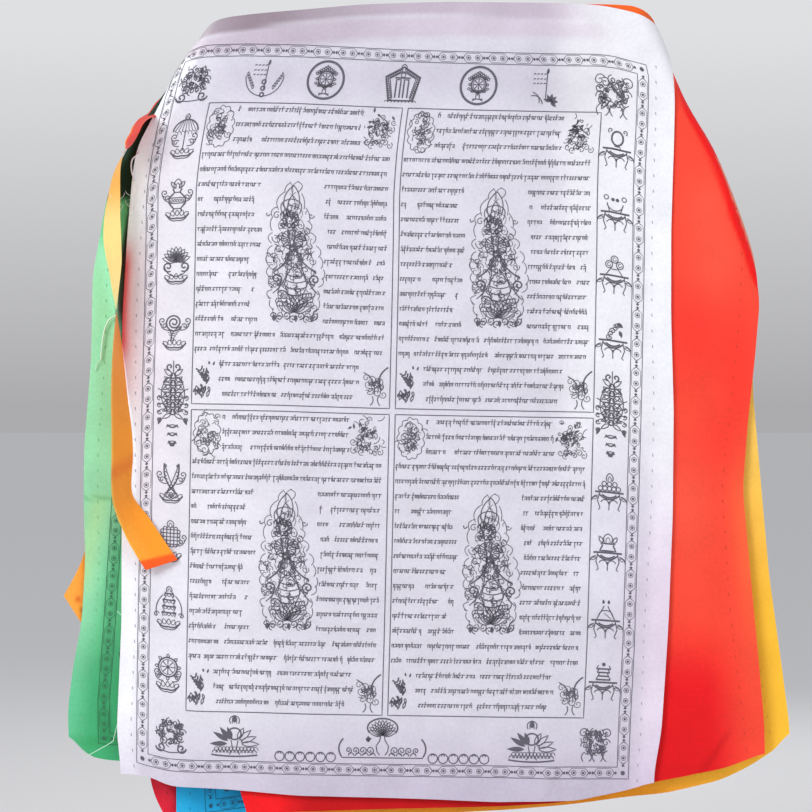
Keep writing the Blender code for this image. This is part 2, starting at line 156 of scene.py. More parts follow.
def foldBack(a, b, n):
    # each upper corner turns round behind the bundle past its fold line
    x, y, z = a + 0.0, n + 0.0 * a, b + 0.0
    radius, turn = bundle["foldRadius"], bundle["foldTurn"]
    for atA, atB, outA, outB in (bundle["leftFold"], bundle["rightFold"]):
        past = (a - atA) * outA + (b - atB) * outB + radius
        angle = np.clip(past / radius, 0.0, turn)
        straight = np.maximum(0.0, past - radius * turn)
        out = (radius - n) * np.sin(angle) + straight * math.cos(turn)
        back = radius - (radius - n) * np.cos(angle) + straight * math.sin(turn)
        bent = past > 0
        x = np.where(bent, a + (out - past) * outA, x)
        y = np.where(bent, back, y)
        z = np.where(bent, b + (out - past) * outB, z)
    return x, y, z


def rollDepth(x, z):
    total = 0.0
    for atX, atZ, lean, width, length, depth in rolls:
        turn = math.radians(lean)
        across = (x - atX) * math.cos(turn) + (z - atZ) * math.sin(turn)
        down = (z - atZ) * math.cos(turn) - (x - atX) * math.sin(turn)
        total = total + depth * np.exp(-(across / width) ** 2 - (down / length) ** 2)
    return total * eased(bundle["rollsFrom"], bundle["rollsFull"], z)


def hang(a, b, n):
    a, b, n = np.broadcast_arrays(np.asarray(a, float), np.asarray(b, float), np.asarray(n, float))
    x, y, z = foldBack(a, b, n)
    height = np.clip((z - bundle["swellTop"]) / (bundle["swellLow"] - bundle["swellTop"]), 0.0, 1.0)
    swell = bundle["swell"] * np.sin(math.pi * height) * eased(bundle["swellInner"], bundle["swellOuter"], x)
    return np.stack([x + swell, y + rollDepth(x, z) - stackDeep / 2, z], axis=-1) * mm


# creases of single flags: start a, b, end a, b, half width, depth (forward is minus)
creases = {
    "flag_white": [(-215, -36, -60, -28, 5, 0.9), (-60, -28, 240, -30, 4, 0.6), (-225, -48, 60, -40, 9, -0.8),
        (150, -12, 255, -22, 6, -0.8), (-270, -110, -240, -170, 16, 1.0), (245, -60, 285, -96, 16, -1.2),
        (-300, -300, -296, -520, 18, -1.0), (-312, -600, -304, -780, 14, 0.9),
        (166, -868, 150, -898, 7, -2.0), (200, -850, 168, -898, 12, 1.2), (-282, -800, -276, -872, 12, -1.4),
        (-120, -860, -90, -900, 20, 0.8), (30, -868, 60, -902, 24, -0.8), (-150, -180, 120, -210, 40, -0.6),
        (40, -420, 230, -470, 46, 0.6), (-220, -640, 40, -690, 50, -0.6)],
    "flag_red": [(338, -150, 372, -290, 12, -1.6), (350, -740, 345, -830, 12, 0.9),
        (395, -430, 386, -560, 9, 1.2), (357, -824, 326, -878, 5, 1.6), (318, -560, 330, -700, 22, -1.0),
        (320, -300, 345, -480, 26, 1.2)],
    "flag_green": [(-366, -558, -318, -556, 7, 1.5), (-352, -300, -346, -480, 10, -1.2),
        (-372, -700, -360, -826, 12, -1.5), (-344, -780, -318, -852, 10, 1.2)],
    "flag_yellow": [(420, -700, 426, -800, 10, 1.5), (404, -500, 416, -640, 10, -1.2)],
    "flag_blue": [(-252, -880, -246, -950, 8, 1.2), (-214, -870, -206, -948, 9, -1.2)],
    "flag_crimson": [(-283, -878, -266, -905, 7, -2.2)],
}


def creaseDepth(name, a, b):
    total = 0.0
    for startA, startB, endA, endB, width, depth in creases[name]:
        runA, runB = endA - startA, endB - startB
        length = math.hypot(runA, runB)
        share = ((a - startA) * runA + (b - startB) * runB) / length ** 2
        aside = ((a - startA) * runB - (b - startB) * runA) / length
        ends = eased(-0.35, 0.15, share) * eased(1.35, 0.85, share)
        total = total + depth * np.exp(-(aside / width) ** 2) * ends
    return total


def onFlag(name, a, b, lift=0.0):
    # a point of a flag's middle face, lifted forward off the cloth
    return hang(a, b, flagDepth(name, b) + bundle["sheet"] / 2 + creaseDepth(name, a, b) - lift)


# cloth finishes

clothLook = {
    # thread pitch and bump depth are in mm
    "roughness": 0.85, "sheen": 0.15, "sheenRoughness": 0.5, "specular": 0.25,
    "weave": 0.6, "waveShare": 314.0, "waver": 0.8, "bump": 0.35, "bumpDepth": 0.12,
    "blotch": 0.05, "slub": 0.04, "blotchScale": 22.0, "slubScale": 260.0, "noiseLow": 0.3, "noiseHigh": 0.7,
    "tapeRoughness": 0.6, "tapeSheen": 0.2, "tapeWeave": 0.9, "tapeBumpDepth": 0.2,
    "inkRoughness": 0.8,
}


def plug(tree, node, inputs):
    # each input by its name or number: a value, or the output that feeds it
    for key, value in inputs.items():
        if isinstance(value, bpy.types.NodeSocket):
            tree.links.new(value, node.inputs[key])
        else:
            node.inputs[key].default_value = value


def addNode(tree, kind, settings, inputs, output):
    # makes a shader node and gives back the named output
    node = tree.nodes.new("ShaderNode" + kind)
    for key, value in settings.items():
        setattr(node, key, value)
    plug(tree, node, inputs)
    return node.outputs[output]


def plainPaint(name, color, roughness=clothLook["inkRoughness"]):
    material = bpy.data.materials.new(name)
    material.use_nodes = True
    tree = material.node_tree
    plug(tree, tree.nodes["Principled BSDF"], {"Base Color": (*color, 1.0), "Roughness": roughness})
    return material


def newCotton(name, color, roughness, sheen, weaveSize, bumpDepth):
    # the dye times the piece's shade colours, mostly painted light and shade with some real tints and stains,
    # a little blotched and slubbed, over a fine weave
    material = plainPaint(name, color, roughness)
    tree, look = material.node_tree, clothLook
    place = addNode(tree, "UVMap", {"uv_map": "flat"}, {}, "UV")
    waving = {"Scale": look["waveShare"] / weaveSize / 2, "Distortion": look["waver"], "Detail": 1.0,
        "Vector": place}
    waves = [addNode(tree, "TexWave", {"bands_direction": direction}, waving, "Fac")
        for direction in ("X", "Y")]
    weave = addNode(tree, "Math", {"operation": "MAXIMUM"}, {0: waves[0], 1: waves[1]}, "Value")
    slubs = addNode(tree, "TexNoise", {}, {"Scale": look["slubScale"], "Detail": 3.0, "Vector": place}, "Fac")
    clouds = addNode(tree, "TexNoise", {}, {"Scale": look["blotchScale"], "Detail": 4.0, "Vector": place},
        "Fac")
    shade = addNode(tree, "VertexColor", {"layer_name": "shade"}, {}, "Color")
    tint = addNode(tree, "Mix", {"data_type": "RGBA", "blend_type": "MULTIPLY"},
                   {"Factor": 1.0, "A": (*color, 1.0), "B": shade}, "Result")
    levels = []
    for noise, reach in ((clouds, look["blotch"]), (slubs, look["slub"])):
        span = {"From Min": look["noiseLow"], "From Max": look["noiseHigh"], "To Min": 1.0 - reach,
            "To Max": 1.0 + reach}
        levels.append(addNode(tree, "MapRange", {}, {**span, "Value": noise}, "Result"))
    uneven = addNode(tree, "Math", {"operation": "MULTIPLY"}, {0: levels[0], 1: levels[1]}, "Value")
    dyed = addNode(tree, "VectorMath", {"operation": "SCALE"}, {0: tint, "Scale": uneven}, "Vector")
    height = addNode(tree, "Math", {"operation": "ADD"}, {0: weave, 1: slubs}, "Value")
    bump = addNode(tree, "Bump", {}, {"Strength": look["bump"], "Distance": bumpDepth * mm, "Height": height},
                   "Normal")
    plug(tree, tree.nodes["Principled BSDF"],
         {"Base Color": dyed, "Sheen Weight": sheen, "Sheen Roughness": look["sheenRoughness"],
          "Specular IOR Level": look["specular"], "Normal": bump})
    material.diffuse_color = (*color, 1.0)
    return material


dyes = {
    "white": (0.88, 0.88, 0.93), "red": (0.97, 0.064, 0.034), "green": (0.33, 0.77, 0.45),
    "yellow": (0.97, 0.52, 0.06), "blue": (0.012, 0.38, 0.72), "crimson": (0.72, 0.012, 0.035),
    "orange": (0.96, 0.74, 0.28), "ink": (0.11, 0.104, 0.135),
    "greenInk": (0.035, 0.16, 0.08), "blueInk": (0.008, 0.10, 0.20), "paleThread": (0.62, 0.88, 0.72),
    "thread": (0.85, 0.84, 0.90),
}
cotton = {dye: newCotton(dye + "Cotton", dyes[dye], clothLook["roughness"], clothLook["sheen"],
                         clothLook["weave"], clothLook["bumpDepth"]) for dye in dyeOf.values()}
tapeCotton = newCotton("orangeTapeCotton", dyes["orange"], clothLook["tapeRoughness"], clothLook["tapeSheen"],
                       clothLook["tapeWeave"], clothLook["tapeBumpDepth"])
print("cloth finishes made")


def buildPiece(name, points, faces, material, flatUv=None, shade=None, smooth=True):
    mesh = bpy.data.meshes.new(name)
    mesh.from_pydata([tuple(point) for point in points], [], faces)
    mesh.materials.append(material)
    if flatUv is not None:
        layer = mesh.uv_layers.new(name="flat")
        corners = np.empty(len(mesh.loops), dtype=np.int32)
        mesh.loops.foreach_get("vertex_index", corners)
        layer.data.foreach_set("uv", np.asarray(flatUv, dtype=np.float32)[corners].ravel())
    # per-point shade colours: mostly painted light and shade, with some real tints and stains
    if shade is not None:
        colors = np.ones((len(points), 4), dtype=np.float32)
        colors[:, :3] = shade
        layer = mesh.color_attributes.new(name="shade", type="FLOAT_COLOR", domain="POINT")
        layer.data.foreach_set("color", colors.ravel())
    if smooth:
        mesh.shade_smooth()
    piece = bpy.data.objects.new(name, mesh)
    bpy.context.scene.collection.objects.link(piece)
    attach(piece, body)
    return piece


def gridFaces(rows, columns):
    corner = (np.arange(rows - 1)[:, None] * columns + np.arange(columns - 1)[None, :]).ravel()
    return np.stack([corner, corner + columns, corner + columns + 1, corner + 1], axis=-1).tolist()


# the flags

flagLook = {
    "step": 5.0, "width": 620.0,                # spacing of the cloth's points, and a flag's own width
    "rims": [1.2, 2.6, 4.0, 7.0],               # extra columns by both edges, for hems and rims
}


def flatGrid(name):
    low = -min(b for a, b in feet[name])
    countA, countB = int(flagLook["width"] / flagLook["step"]) + 1, int(low / flagLook["step"]) + 1
    closer = np.array(flagLook["rims"]) / flagLook["width"]
    columns = np.unique(np.concatenate([np.linspace(0, 1, countA), closer, 1 - closer]))
    u, v = np.meshgrid(columns, np.linspace(0, 1, countB))
    b = -v * low
    for _ in range(4):                          # the edges bend, so a and b settle together
        left, right = sideAt(name, 1, b), sideAt(name, 2, b)
        a = left + u * (right - left)
        b = topEdge(a, name) * (1 - v) + footAt(name, a) * v
    return a, b


def makeFlag(dye, shadeOf):
    node = "flag_" + dye
    a, b = flatGrid(node)
    made = buildPiece(dye + "Flag", onFlag(node, a, b).reshape(-1, 3), gridFaces(*a.shape), cotton[dye],
        np.stack([a, b], axis=-1).reshape(-1, 2) * mm, shadeOf(a, b).reshape(-1, 3))
    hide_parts(node)


def mixed(base, *tints):
    # each tint is a colour factor and its strength over the cloth; most tints are painted light and shade
    shade = np.ones(base.shape + (3,))
    for color, strength in tints:
        strength = np.clip(strength, 0.0, 1.0)[..., None]
        shade = shade * (1 - strength) + shade * np.array(color) * strength
    return shade


def blob(a, b, atA, atB, reachA, reachB):
    return np.exp(-((a - atA) / reachA) ** 2 - ((b - atB) / reachB) ** 2)


def fromEdge(name, b, column, a):
    # how far inside a flag's left (1) or right (2) edge a point lies
    return (a - sideAt(name, 1, b)) if column == 1 else (sideAt(name, 2, b) - a)


def near(value, middle, reach):
    return np.exp(-((value - middle) / reach) ** 2)


# painted light and shade on the white flag: a darker middle with painted light on its margins and glows at
# left and right, painted shade in the bands and crease along the top, painted lighter and darker patches,
# painted shade down the right edge, lower down and at the foot, and painted pink and red light thrown by the
# tape along the left edge
def whiteShade(a, b):
    down = topEdge(a, "flag_white") - b
    inLeft, inRight = fromEdge("flag_white", b, 1, a), fromEdge("flag_white", b, 2, a)
    rightGlow = eased(150, 205, a) * eased(-620, -420, b)
    leftGlow = eased(-110, -200, a) * eased(-120, -200, b)
    inside = eased(12, 26, inLeft) * eased(12, 36, inRight) * (1 - 0.72 * rightGlow - 0.36 * leftGlow)
    litMargin = eased(20, 8, inLeft) * eased(-130, -200, b) * eased(-600, -460, b)
    fold = along([(-300, 22), (-226, 19), (-186, 17), (-141, 15), (-96, 14), (0, 14), (120, 16), (240, 20)],
        1, a)
    atLeft = near(a, -170, 85)
    return mixed(a, ((0.77, 0.745, 0.79), inside), ((1.17, 1.22, 1.19), litMargin),
        ((0.86, 0.85, 0.88), near(b, -84, 34) * eased(-240, -180, a) * eased(195, 140, a)),
        ((0.50, 0.41, 0.44), atLeft * eased(fold + 1, fold - 2, down)),
        ((0.84, 0.81, 0.82), near(a, -115, 105) * eased(48, 36, down)),
        ((0.88, 0.87, 0.87), blob(a, b, 200, -95, 55, 42)),
        ((1.12, 1.14, 1.13), blob(a, b, 225, -628, 60, 72)),
        ((0.74, 0.64, 0.69), 0.9 * (1 - atLeft) * eased(fold + 1.5, fold - 1.5, down) * eased(235, 150, a)),
        ((0.90, 0.83, 0.87), eased(fold, fold + 3, down) * eased(44, 34, down) * eased(250, 190, a)),
        ((0.96, 0.88, 0.95), eased(-470, -680, b) * eased(40, 10, inRight)),
        ((0.82, 0.77, 0.84), eased(-780, -900, b)),
        ((0.90, 0.83, 0.88), near(b, -700, 150) * near(a, 285, 50)),
        ((0.86, 0.60, 0.66), 0.85 * near(inLeft, 0, 21) * eased(-235, -300, b) * eased(-500, -410, b)),
        ((0.90, 0.10, 0.10), 0.95 * near(inLeft, 0, 7) * eased(-262, -300, b) * eased(-420, -380, b)))


# painted light and shade on the red flag: lighter and darker patches along its creases, a painted highlight
# on the right edge, deeper painted shade lower down, under the white flag's foot and in a crease by the foot,
# and at the right fold a painted dark strip of shade with a painted lit rim beyond it
def redShade(a, b):
    inside = fromEdge("flag_red", b, 2, a)
    atA, atB, outA, outB = bundle["rightFold"]
    past = (a - atA) * outA + (b - atB) * outB + bundle["foldRadius"]
    darkFrom = along([(-345, 30), (-330, 14), (-319, 8), (-302, 5), (-279, 5), (-245, 2), (-212, 4.4),
        (-178, 8), (-145, 10), (-120, 10), (-98, 17), (-60, 30)], 1, b)
    litRimFrom = along([(-345, 40), (-322, 30), (-312, 16), (-279, 19), (-245, 17.5), (-212, 16), (-178, 17.5),
        (-160, 34)], 1, b)
    litRim = eased(litRimFrom - 1.5, litRimFrom + 1.5, past)
    dark = eased(darkFrom - 3, darkFrom + 3, past) * eased(-345, -330, b)
    return mixed(a, ((1.0, 0.55, 0.7), 0.8 * blob(a, b, 330, -370, 45, 60)),
        ((1.0, 0.5, 0.7), 0.7 * blob(a, b, 380, -430, 22, 70)),
        ((1.0, 1.6, 1.7), 0.7 * blob(a, b, 350, -300, 30, 45)),
        ((1.0, 1.5, 1.6), 0.7 * blob(a, b, 320, -560, 30, 80)),
        ((1.0, 1.5, 1.6), 0.6 * blob(a, b, 335, -230, 26, 40)),
        ((1.0, 2.0, 1.2), 0.9 * near(inside, 0, 16) * near(b, -610, 120)),
        ((1.0, 0.6, 0.7), 0.6 * blob(a, b, 350, -500, 40, 40)),
        ((0.93, 0.10, 0.30), eased(-680, -780, b) * eased(10, 66, inside)),
        ((0.60, 0.10, 0.35), eased(-860, -882, b) * eased(-150, -100, a) * eased(200, 160, a)),
        ((0.82, 0.4, 0.7), blob(a, b, 305, -860, 60, 90)),
        ((0.72, 0.4, 0.6), 0.8 * near((a - 345) * 0.84 + (b + 856) * -0.54, 0, 4) * eased(-812, -835, b)),
        ((1.03, 0.004, 0.02), 0.98 * (1 - litRim) * dark), ((1.0, 4.2, 5.0), litRim))


# where the print's outer line runs down the green flag's left side
greenLeft = [(-62, -262), (-164, -290), (-221, -309), (-307, -326), (-402, -328), (-560, -332), (-620, -336),
    (-675, -339.5), (-731, -343.5), (-788, -348), (-838, -347.5)]


# on the green flag: the print's border strip in its own darker tone; all else is painted light and shade:
# darker lower down and right of a slanting line at the lower left, a painted highlight along that line,
# painted shade at the top under the tape going nearly black, painted dark red shade along the white flag's
# edge, painted shade in the crease at b -560, and a darker line near the foot
def greenShade(a, b):
    turn = along([(-900, -390), (-697, -363), (-560, -336), (-400, -305)], 1, b)
    beyond = eased(-4, 26, a - turn) * eased(-545, -640, b)
    white = sideAt("flag_white", 1, b)
    band = a - along(greenLeft, 1, b)
    reach = along([(-381, 3.5), (-347, 7), (-285, 8), (-262, 5), (-235, 3)], 1, b)
    dark = eased(reach + 2, reach - 2, white - a) * eased(-215, -240, b) * eased(-410, -385, b)
    return mixed(a, ((0.74, 0.78, 0.76), eased(-1, 1, band) * eased(14, 12, band) * eased(-838, -834, b)),
        ((0.88, 0.90, 0.90), eased(-500, -600, b)), ((0.30, 0.72, 0.50), 0.8 * beyond),
        ((0.42, 0.76, 0.68), eased(-660, -790, b)),
        ((1.35, 1.02, 0.82), 0.8 * near(a - turn, -10, 11) * eased(-545, -575, b) * eased(-690, -640, b)),
        ((0.50, 0.78, 0.60), eased(-290, -245, b)), ((0.05, 0.05, 0.05), eased(-229, -217, b)),
        ((0.16, 0.012, 0.03), 0.95 * dark), ((0.6, 0.72, 0.6), 0.8 * near(b, -560, 2.6)),
        ((0.45, 0.75, 0.5), 0.5 * near(b, -836, 6)))


# painted light and shade on the yellow flag: paler towards the top, painted light lower down, and darker at
# the foot
def yellowShade(a, b):
    return mixed(a, ((1.0, 1.14, 1.7), eased(-640, -480, b)), ((1.03, 1.04, 0.62), eased(-600, -700, b)),
                 ((0.92, 0.62, 0.5), eased(-860, -905, b)))


# painted light and shade on the blue flag: a painted highlight along its left edge and a painted shadow
# beside the red flag's foot
def blueShade(a, b):
    return mixed(a, ((2.0, 1.25, 1.15), 0.7 * near(a, -255, 14)),
        ((0.4, 0.5, 0.6), 0.8 * blob(a, b, -188, -893, 10, 6)))


# a painted highlight along the crimson flag's crease by its lower left
def crimsonShade(a, b):
    return mixed(a, ((1.15, 2.4, 1.6), 0.7 * near((a + 274) - (b + 890) * -0.9, 0, 5)))


# each flag's flat size in metres and its painted light and shade
looks = {"white": ((0.62, 0.88), whiteShade), "red": ((0.62, 0.91), redShade),
    "green": ((0.62, 0.87), greenShade), "yellow": ((0.62, 0.91), yellowShade),
    "blue": ((0.62, 0.91), blueShade), "crimson": ((0.62, 0.91), crimsonShade)}
for dye, (flat, shadeOf) in looks.items():
    makeFlag(dye, shadeOf)
print("flags hung")


# the heading tape

tape = {
    "width": 36.0, "top": -10.0, "left": -320.0, "right": 356.0, "clear": 10.0,
    "creaseAt": -334.0, "creaseRadius": 1.6, "across": 12, "turnSteps": 8, "tailSteps": 12, "passSteps": 110,
    "stands": 0.95, "standsFrom": 185.0, "standsAt": 225.0,     # it stands up to the edge at the right
    "frontCut": -11.0, "backCut": 20.0,         # how far the corners of each end lie apart along the run
    "keepBehind": -3.5,                         # how far forward the front tail may come by the white flag
    # plain is the tape's own orange; atRight is painted shade, backEnd a paler tone
    "plain": (0.97, 0.34, 0.045), "atRight": (0.93, 0.17, 0.03), "backEnd": (1.02, 0.50, 0.16),
    "endSlices": 40,
}
# where each tail leaves its turned corner on the flat, then its centre x, z, depth and twist in degrees:
# the front tail is given as it hangs, the back one on the flat
frontStart = (-312, -71)
frontTail = [
    (-262, -109, 47, -10), (-271, -113, 43, -40), (-279, -120, 27, -60), (-289, -129, 4, -64),
    (-298.5, -140, -10, -68), (-304, -150.6, -15, -66), (-308, -159.2, -17, -66), (-310.8, -166, -17.4, -74),
    (-313.6, -170.5, -17.5, -82), (-319.5, -184, -17.4, -76), (-323.5, -200, -17, -68),
    (-326, -223, -17, -60), (-328, -245.5, -17, -53), (-328, -268, -17, -50), (-326, -291, -17, -55),
    (-325, -304, -17, -61), (-324.4, -326, -18, -71), (-323.5, -347, -18, -82), (-322.5, -381, -18, -97),
    (-321.5, -415, -18, -107), (-320, -450, -18, -115), (-317.7, -483, -18, -122), (-317, -510, -18, -125),
    (-316.5, -558, -19, -123), (-300, -592, -14, -150), (-285, -617, -11, -165), (-273.5, -634.4, -9, -170)]
backStart = (-312, -78)
backTail = [
    (-312, -78, 17.2, 0), (-305, -126, 17.5, 0), (-302, -193, 18, 0), (-298, -269, 18, 0),
    (-296, -345, 18, 0), (-298, -421, 19, 0), (-312, -500, 19, 4), (-332, -575, 18, 8), (-351, -640, 16, 4),
    (-376, -688, 15, 0)]


def acrossTape(upper, lower, side, hung=0.0):
    # points from the upper to the lower edge, shifted to the middle face, and whether they are hung already
    share = np.linspace(0, 1, tape["across"] + 1)[:, None]
    return np.hstack([np.array(upper) * (1 - share) + np.array(lower) * share + np.array(side),
        0 * share + hung])


def tapeTop(a):
    return float(topEdge(np.array(float(a))))


def levelSlice(a, depth, shift=(0.0, 0.0)):
    rise = -tape["top"] * tape["stands"] * float(eased(tape["standsFrom"], tape["standsAt"], a))
    high = tapeTop(a) + tape["top"] + rise
    return acrossTape((a, high, 0.0), (a, high - tape["width"], 0.0), (shift[0], 0.0, depth + shift[1]))


def smoothRows(rows, steps):
    values = [np.array(row, float) for row in rows]
    values = [values[0]] + values + [values[-1]]
    curve = []
    for index in range(1, len(values) - 2):
        p, q, r, s = values[index - 1:index + 3]
        for step in range(steps + (index == len(values) - 3)):
            t = step / steps
            curve.append(0.5 * (2 * q + (r - p) * t + (2 * p - 5 * q + 4 * r - s) * t * t
                                + (3 * q - p - 3 * r + s) * t ** 3))
    return curve


def tailSlices(rows, number, first, cut, hung):
    # the turned corner, then the tail down to its end
    front = stackDepth(passes[number]) + bundle["sheet"] / 2
    away = -1 if number == 0 else 1
    radius = tape["creaseRadius"]
    level = tapeTop(tape["creaseAt"])
    middle = tape["top"] - tape["width"] / 2
    run = unit(np.array([first[0] - tape["creaseAt"], first[1] - middle - level]))
    crease = run - np.array([1.0, 0.0])
    out = unit(-np.array([1.0, 0.0]) - run)
    half = tape["width"] / 2
    upper = (tape["creaseAt"] + crease[0] * half / crease[1], level + tape["top"], 0.0)
    lower = (tape["creaseAt"] - crease[0] * half / crease[1], level + tape["top"] - tape["width"], 0.0)
    slices = []
    for step in range(tape["turnSteps"] + 1):
        angle = math.pi * step / tape["turnSteps"]
        reach = radius * math.sin(angle)
        depth = front + away * radius * (1 - math.cos(angle))
        slices.append(acrossTape(upper, lower, (out[0] * reach, out[1] * reach, depth)))
    curve = smoothRows(rows, tape["tailSteps"])
    for index, (a, b, n, twist) in enumerate(curve):
        before, after = curve[max(index - 1, 0)], curve[min(index + 1, len(curve) - 1)]
        run = unit((after - before)[:3])
        aside = np.array([-run[1], run[0], 0.0]) / max(math.hypot(run[0], run[1]), 0.2)
        turn = math.radians(twist)
        reach = (aside * math.cos(turn) + np.cross(run, aside) * math.sin(turn)) * half
        slant = run * cut / 2 * float(eased(len(curve) - 12, len(curve) - 1, index))
        centre = np.array([a, b, n])
        slices.append(acrossTape(centre + reach + slant, centre - reach - slant, (0.0, 0.0, 0.0), hung))
    return slices


def tapeSlices():
    slices = frontSlices[::-1]
    for number in range(len(passes)):
        depth = stackDepth(passes[number]) + bundle["sheet"] / 2
        start = tape["left"] + (tape["clear"] if number in (0, len(passes) - 1) else 0.0)
        own = [levelSlice(a, depth) for a in np.linspace(start, tape["right"], tape["passSteps"])]
        slices += own if number % 2 == 0 else own[::-1]
        if number < len(passes) - 1:
            at, way = (tape["right"], 1) if number % 2 == 0 else (tape["left"], -1)
            radius = (stackDepth(passes[number + 1]) - stackDepth(passes[number])) / 2
            for step in range(1, tape["turnSteps"]):
                angle = math.pi * step / tape["turnSteps"]
                shift = (way * radius * math.sin(angle), radius * (1 - math.cos(angle)))
                slices.append(levelSlice(at, depth, shift))
    return slices + tailSlices(backTail, len(passes) - 1, backStart, tape["backCut"], 0.0)


frontSlices = tailSlices(frontTail, 0, frontStart, tape["frontCut"], 1.0)
tapeFlat = np.array(tapeSlices())
alongX, alongZ, deep = tapeFlat[..., 0], tapeFlat[..., 1], tapeFlat[..., 2]
hungAlready = np.stack([alongX, deep + rollDepth(alongX, alongZ) - stackDeep / 2, alongZ], axis=-1) * mm
tapePoints = np.where(tapeFlat[..., 3:] > 0.5, hungAlready, hang(alongX, alongZ, deep))
# the front tail's edge keeps behind the white flag where it comes round the corner
under = eased(-285, -279, alongX) * (tapeFlat[..., 3] > 0.5) * eased(-140, -130, alongZ)
tapePoints[..., 1] += under * np.maximum(0.0, tape["keepBehind"] * mm - tapePoints[..., 1])
steps = np.linalg.norm(np.diff(tapePoints.mean(axis=1), axis=0), axis=1)
tapeRun = np.concatenate([[0.0], np.cumsum(steps)])
share = np.linspace(0, 1, tape["across"] + 1)
tapeUv = np.stack([np.broadcast_to(tapeRun[:, None], tapePoints.shape[:2]),
                   np.broadcast_to(share[None, :] * tape["width"] * mm, tapePoints.shape[:2])], axis=-1)


def blended(shade, strength, tint):
    strength = strength[..., None]
    return shade * (1 - strength) + np.array(tint) * strength


def tailTint(flat):
    # painted light and shade down the front tail: shade by the hand with a darker shaded crease, a lit edge,
    # a lit yellow face down to the pinch, brighter orange below it, a highlight along one edge, lighter where
    # it turns at the knuckle, shade in a slanting fold, and the shaded turned-under end
    b = flat[:, :, 1].mean(axis=1)[:, None] + 0 * flat[:, :, 1]
    outer = np.broadcast_to(np.linspace(1, 0, tape["across"] + 1), b.shape)
    shade = np.broadcast_to(tape["plain"], b.shape + (3,))
    for tint, strength in (((0.84, 0.035, 0.0), eased(-176, -168, b)),
            ((0.62, 0.012, 0.005), near(b, -160, 7) * eased(0.2, 0.5, outer) * 0.7),
            ((1.04, 0.62, 0.30), near(outer, 0, 0.09) * eased(-176, -168, b) * eased(-130, -140, b)),
            ((1.02, 0.60, 0.16), eased(-168, -180, b) * eased(-354, -347, b)),
            ((1.02, 0.98, 0.95), eased(-205, -250, b) * eased(-354, -347, b) * 0.85),
            ((1.04, 0.44, 0.055), eased(-347, -354, b)),
            ((1.03, 0.85, 0.40), eased(-352, -372, b) * eased(-632, -600, b) * near(outer, 1, 0.06)),
            ((1.04, 0.50, 0.10), eased(-575, -590, b) * near(outer, 0.8, 0.2)),
            ((0.86, 0.22, 0.03), near(b + 14 * outer, -518, 9) * 0.6),
            ((0.98, 0.14, 0.02), eased(-620, -623, flat[:, :, 1] + 8.3 * outer))):
        shade = blended(shade, strength, tint)
    return shade


tailCount = len(frontSlices)
number = np.arange(len(tapeFlat))[:, None]
atEnd = number > len(tapeFlat) - tape["endSlices"]
tapeShade = np.broadcast_to(tape["plain"], tapeFlat.shape[:2] + (3,)).copy()
tapeShade[:tailCount] = tailTint(tapeFlat[:tailCount])
# redder in painted shade where it shows at the right, paler at the back tail's end, and three stains there
tapeShade = blended(tapeShade, eased(150, 190, alongX) * (number >= tailCount), tape["atRight"])
tapeShade = blended(tapeShade, near(alongX, -380, 26) * eased(-600, -640, alongZ) * atEnd, tape["backEnd"])
for spotX, spotZ, size, dark in ((-371, -675, 3.0, (0.7, 0.14, 0.02)), (-366, -687, 2.4, (0.35, 0.12, 0.01)),
                                 (-362, -694, 3.4, (0.12, 0.06, 0.01))):
    tapeShade = blended(tapeShade, near(alongX, spotX, size) * near(alongZ, spotZ, size * 1.3) * atEnd, dark)
headingTape = buildPiece("headingTape", tapePoints.reshape(-1, 3), gridFaces(*tapePoints.shape[:2]),
                         tapeCotton, tapeUv.reshape(-1, 2), tapeShade.reshape(-1, 3))
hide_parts("heading_tape")
print("tape run in metres", round(float(tapeRun[-1]), 2))


# the print: black lines laid on the cloth. Its own flat layout is x to the right and y down, from the frame's
# upper left corner, and each flag's frame tables say where that layout lies on the cloth.

layout = {
    "width": 556.0, "height": 800.0, "strip": 13.0,
    "across": 18, "down": 24,                                   # lozenges along each side
    "panelLeft": 55.5, "panelRight": 503.0, "panelTop": 64.0, "panelBottom": 733.0, "gutter": 6.5,
    "rowPitch": 16.45, "rowFirst": 8.2,
    "fineLine": 0.8, "line": 1.1, "boldLine": 1.7, "lift": 0.28, "stepOut": 6.0,
}
fine, bold = layout["fineLine"], layout["boldLine"]

# the frame's outer lines on the white flag: top a b, bottom a b, left b a, right b a
whiteFrame = {
    "top": [(-258.8, -62.5), (-247.5, -53.2), (-221.5, -49), (-179.7, -47.7), (-110.7, -49), (-12.4, -53.9),
        (65.5, -56.4), (174, -58.9), (217, -59.3), (235, -61.6), (250.9, -66), (271.5, -71.4)],
    "bottom": [(-302.3, -857), (-294.4, -859.5), (-263.7, -866), (-227.7, -868.8), (-108.7, -871.4),
        (152.6, -874.7), (252.1, -877)],
    "left": [(-62.5, -258.8), (-110, -271.2), (-143.2, -279.3), (-176.8, -285.9), (-203, -289.6),
        (-221.8, -291.5), (-260.2, -291.9), (-346.9, -293.8), (-437, -296.5), (-534.4, -298.3),
        (-715.6, -301.6), (-787.6, -302.4), (-857, -302.3)],
    "right": [(-71.4, 271.5), (-85.2, 274.5), (-122.4, 274), (-147.9, 273.1), (-183.2, 271.1),
        (-232.2, 270.2), (-287, 269.7), (-449, 266.5), (-629.8, 261.4), (-727.7, 258.4), (-806.1, 254.5),
        (-877, 252.1)],
}
greenFrame = {
    "top": [(-262, -62), (244, -62)], "bottom": [(-347.5, -838), (-314, -841), (212, -845)],
    "left": greenLeft,
    "right": [(-62, 244), (-845, 212)],
}
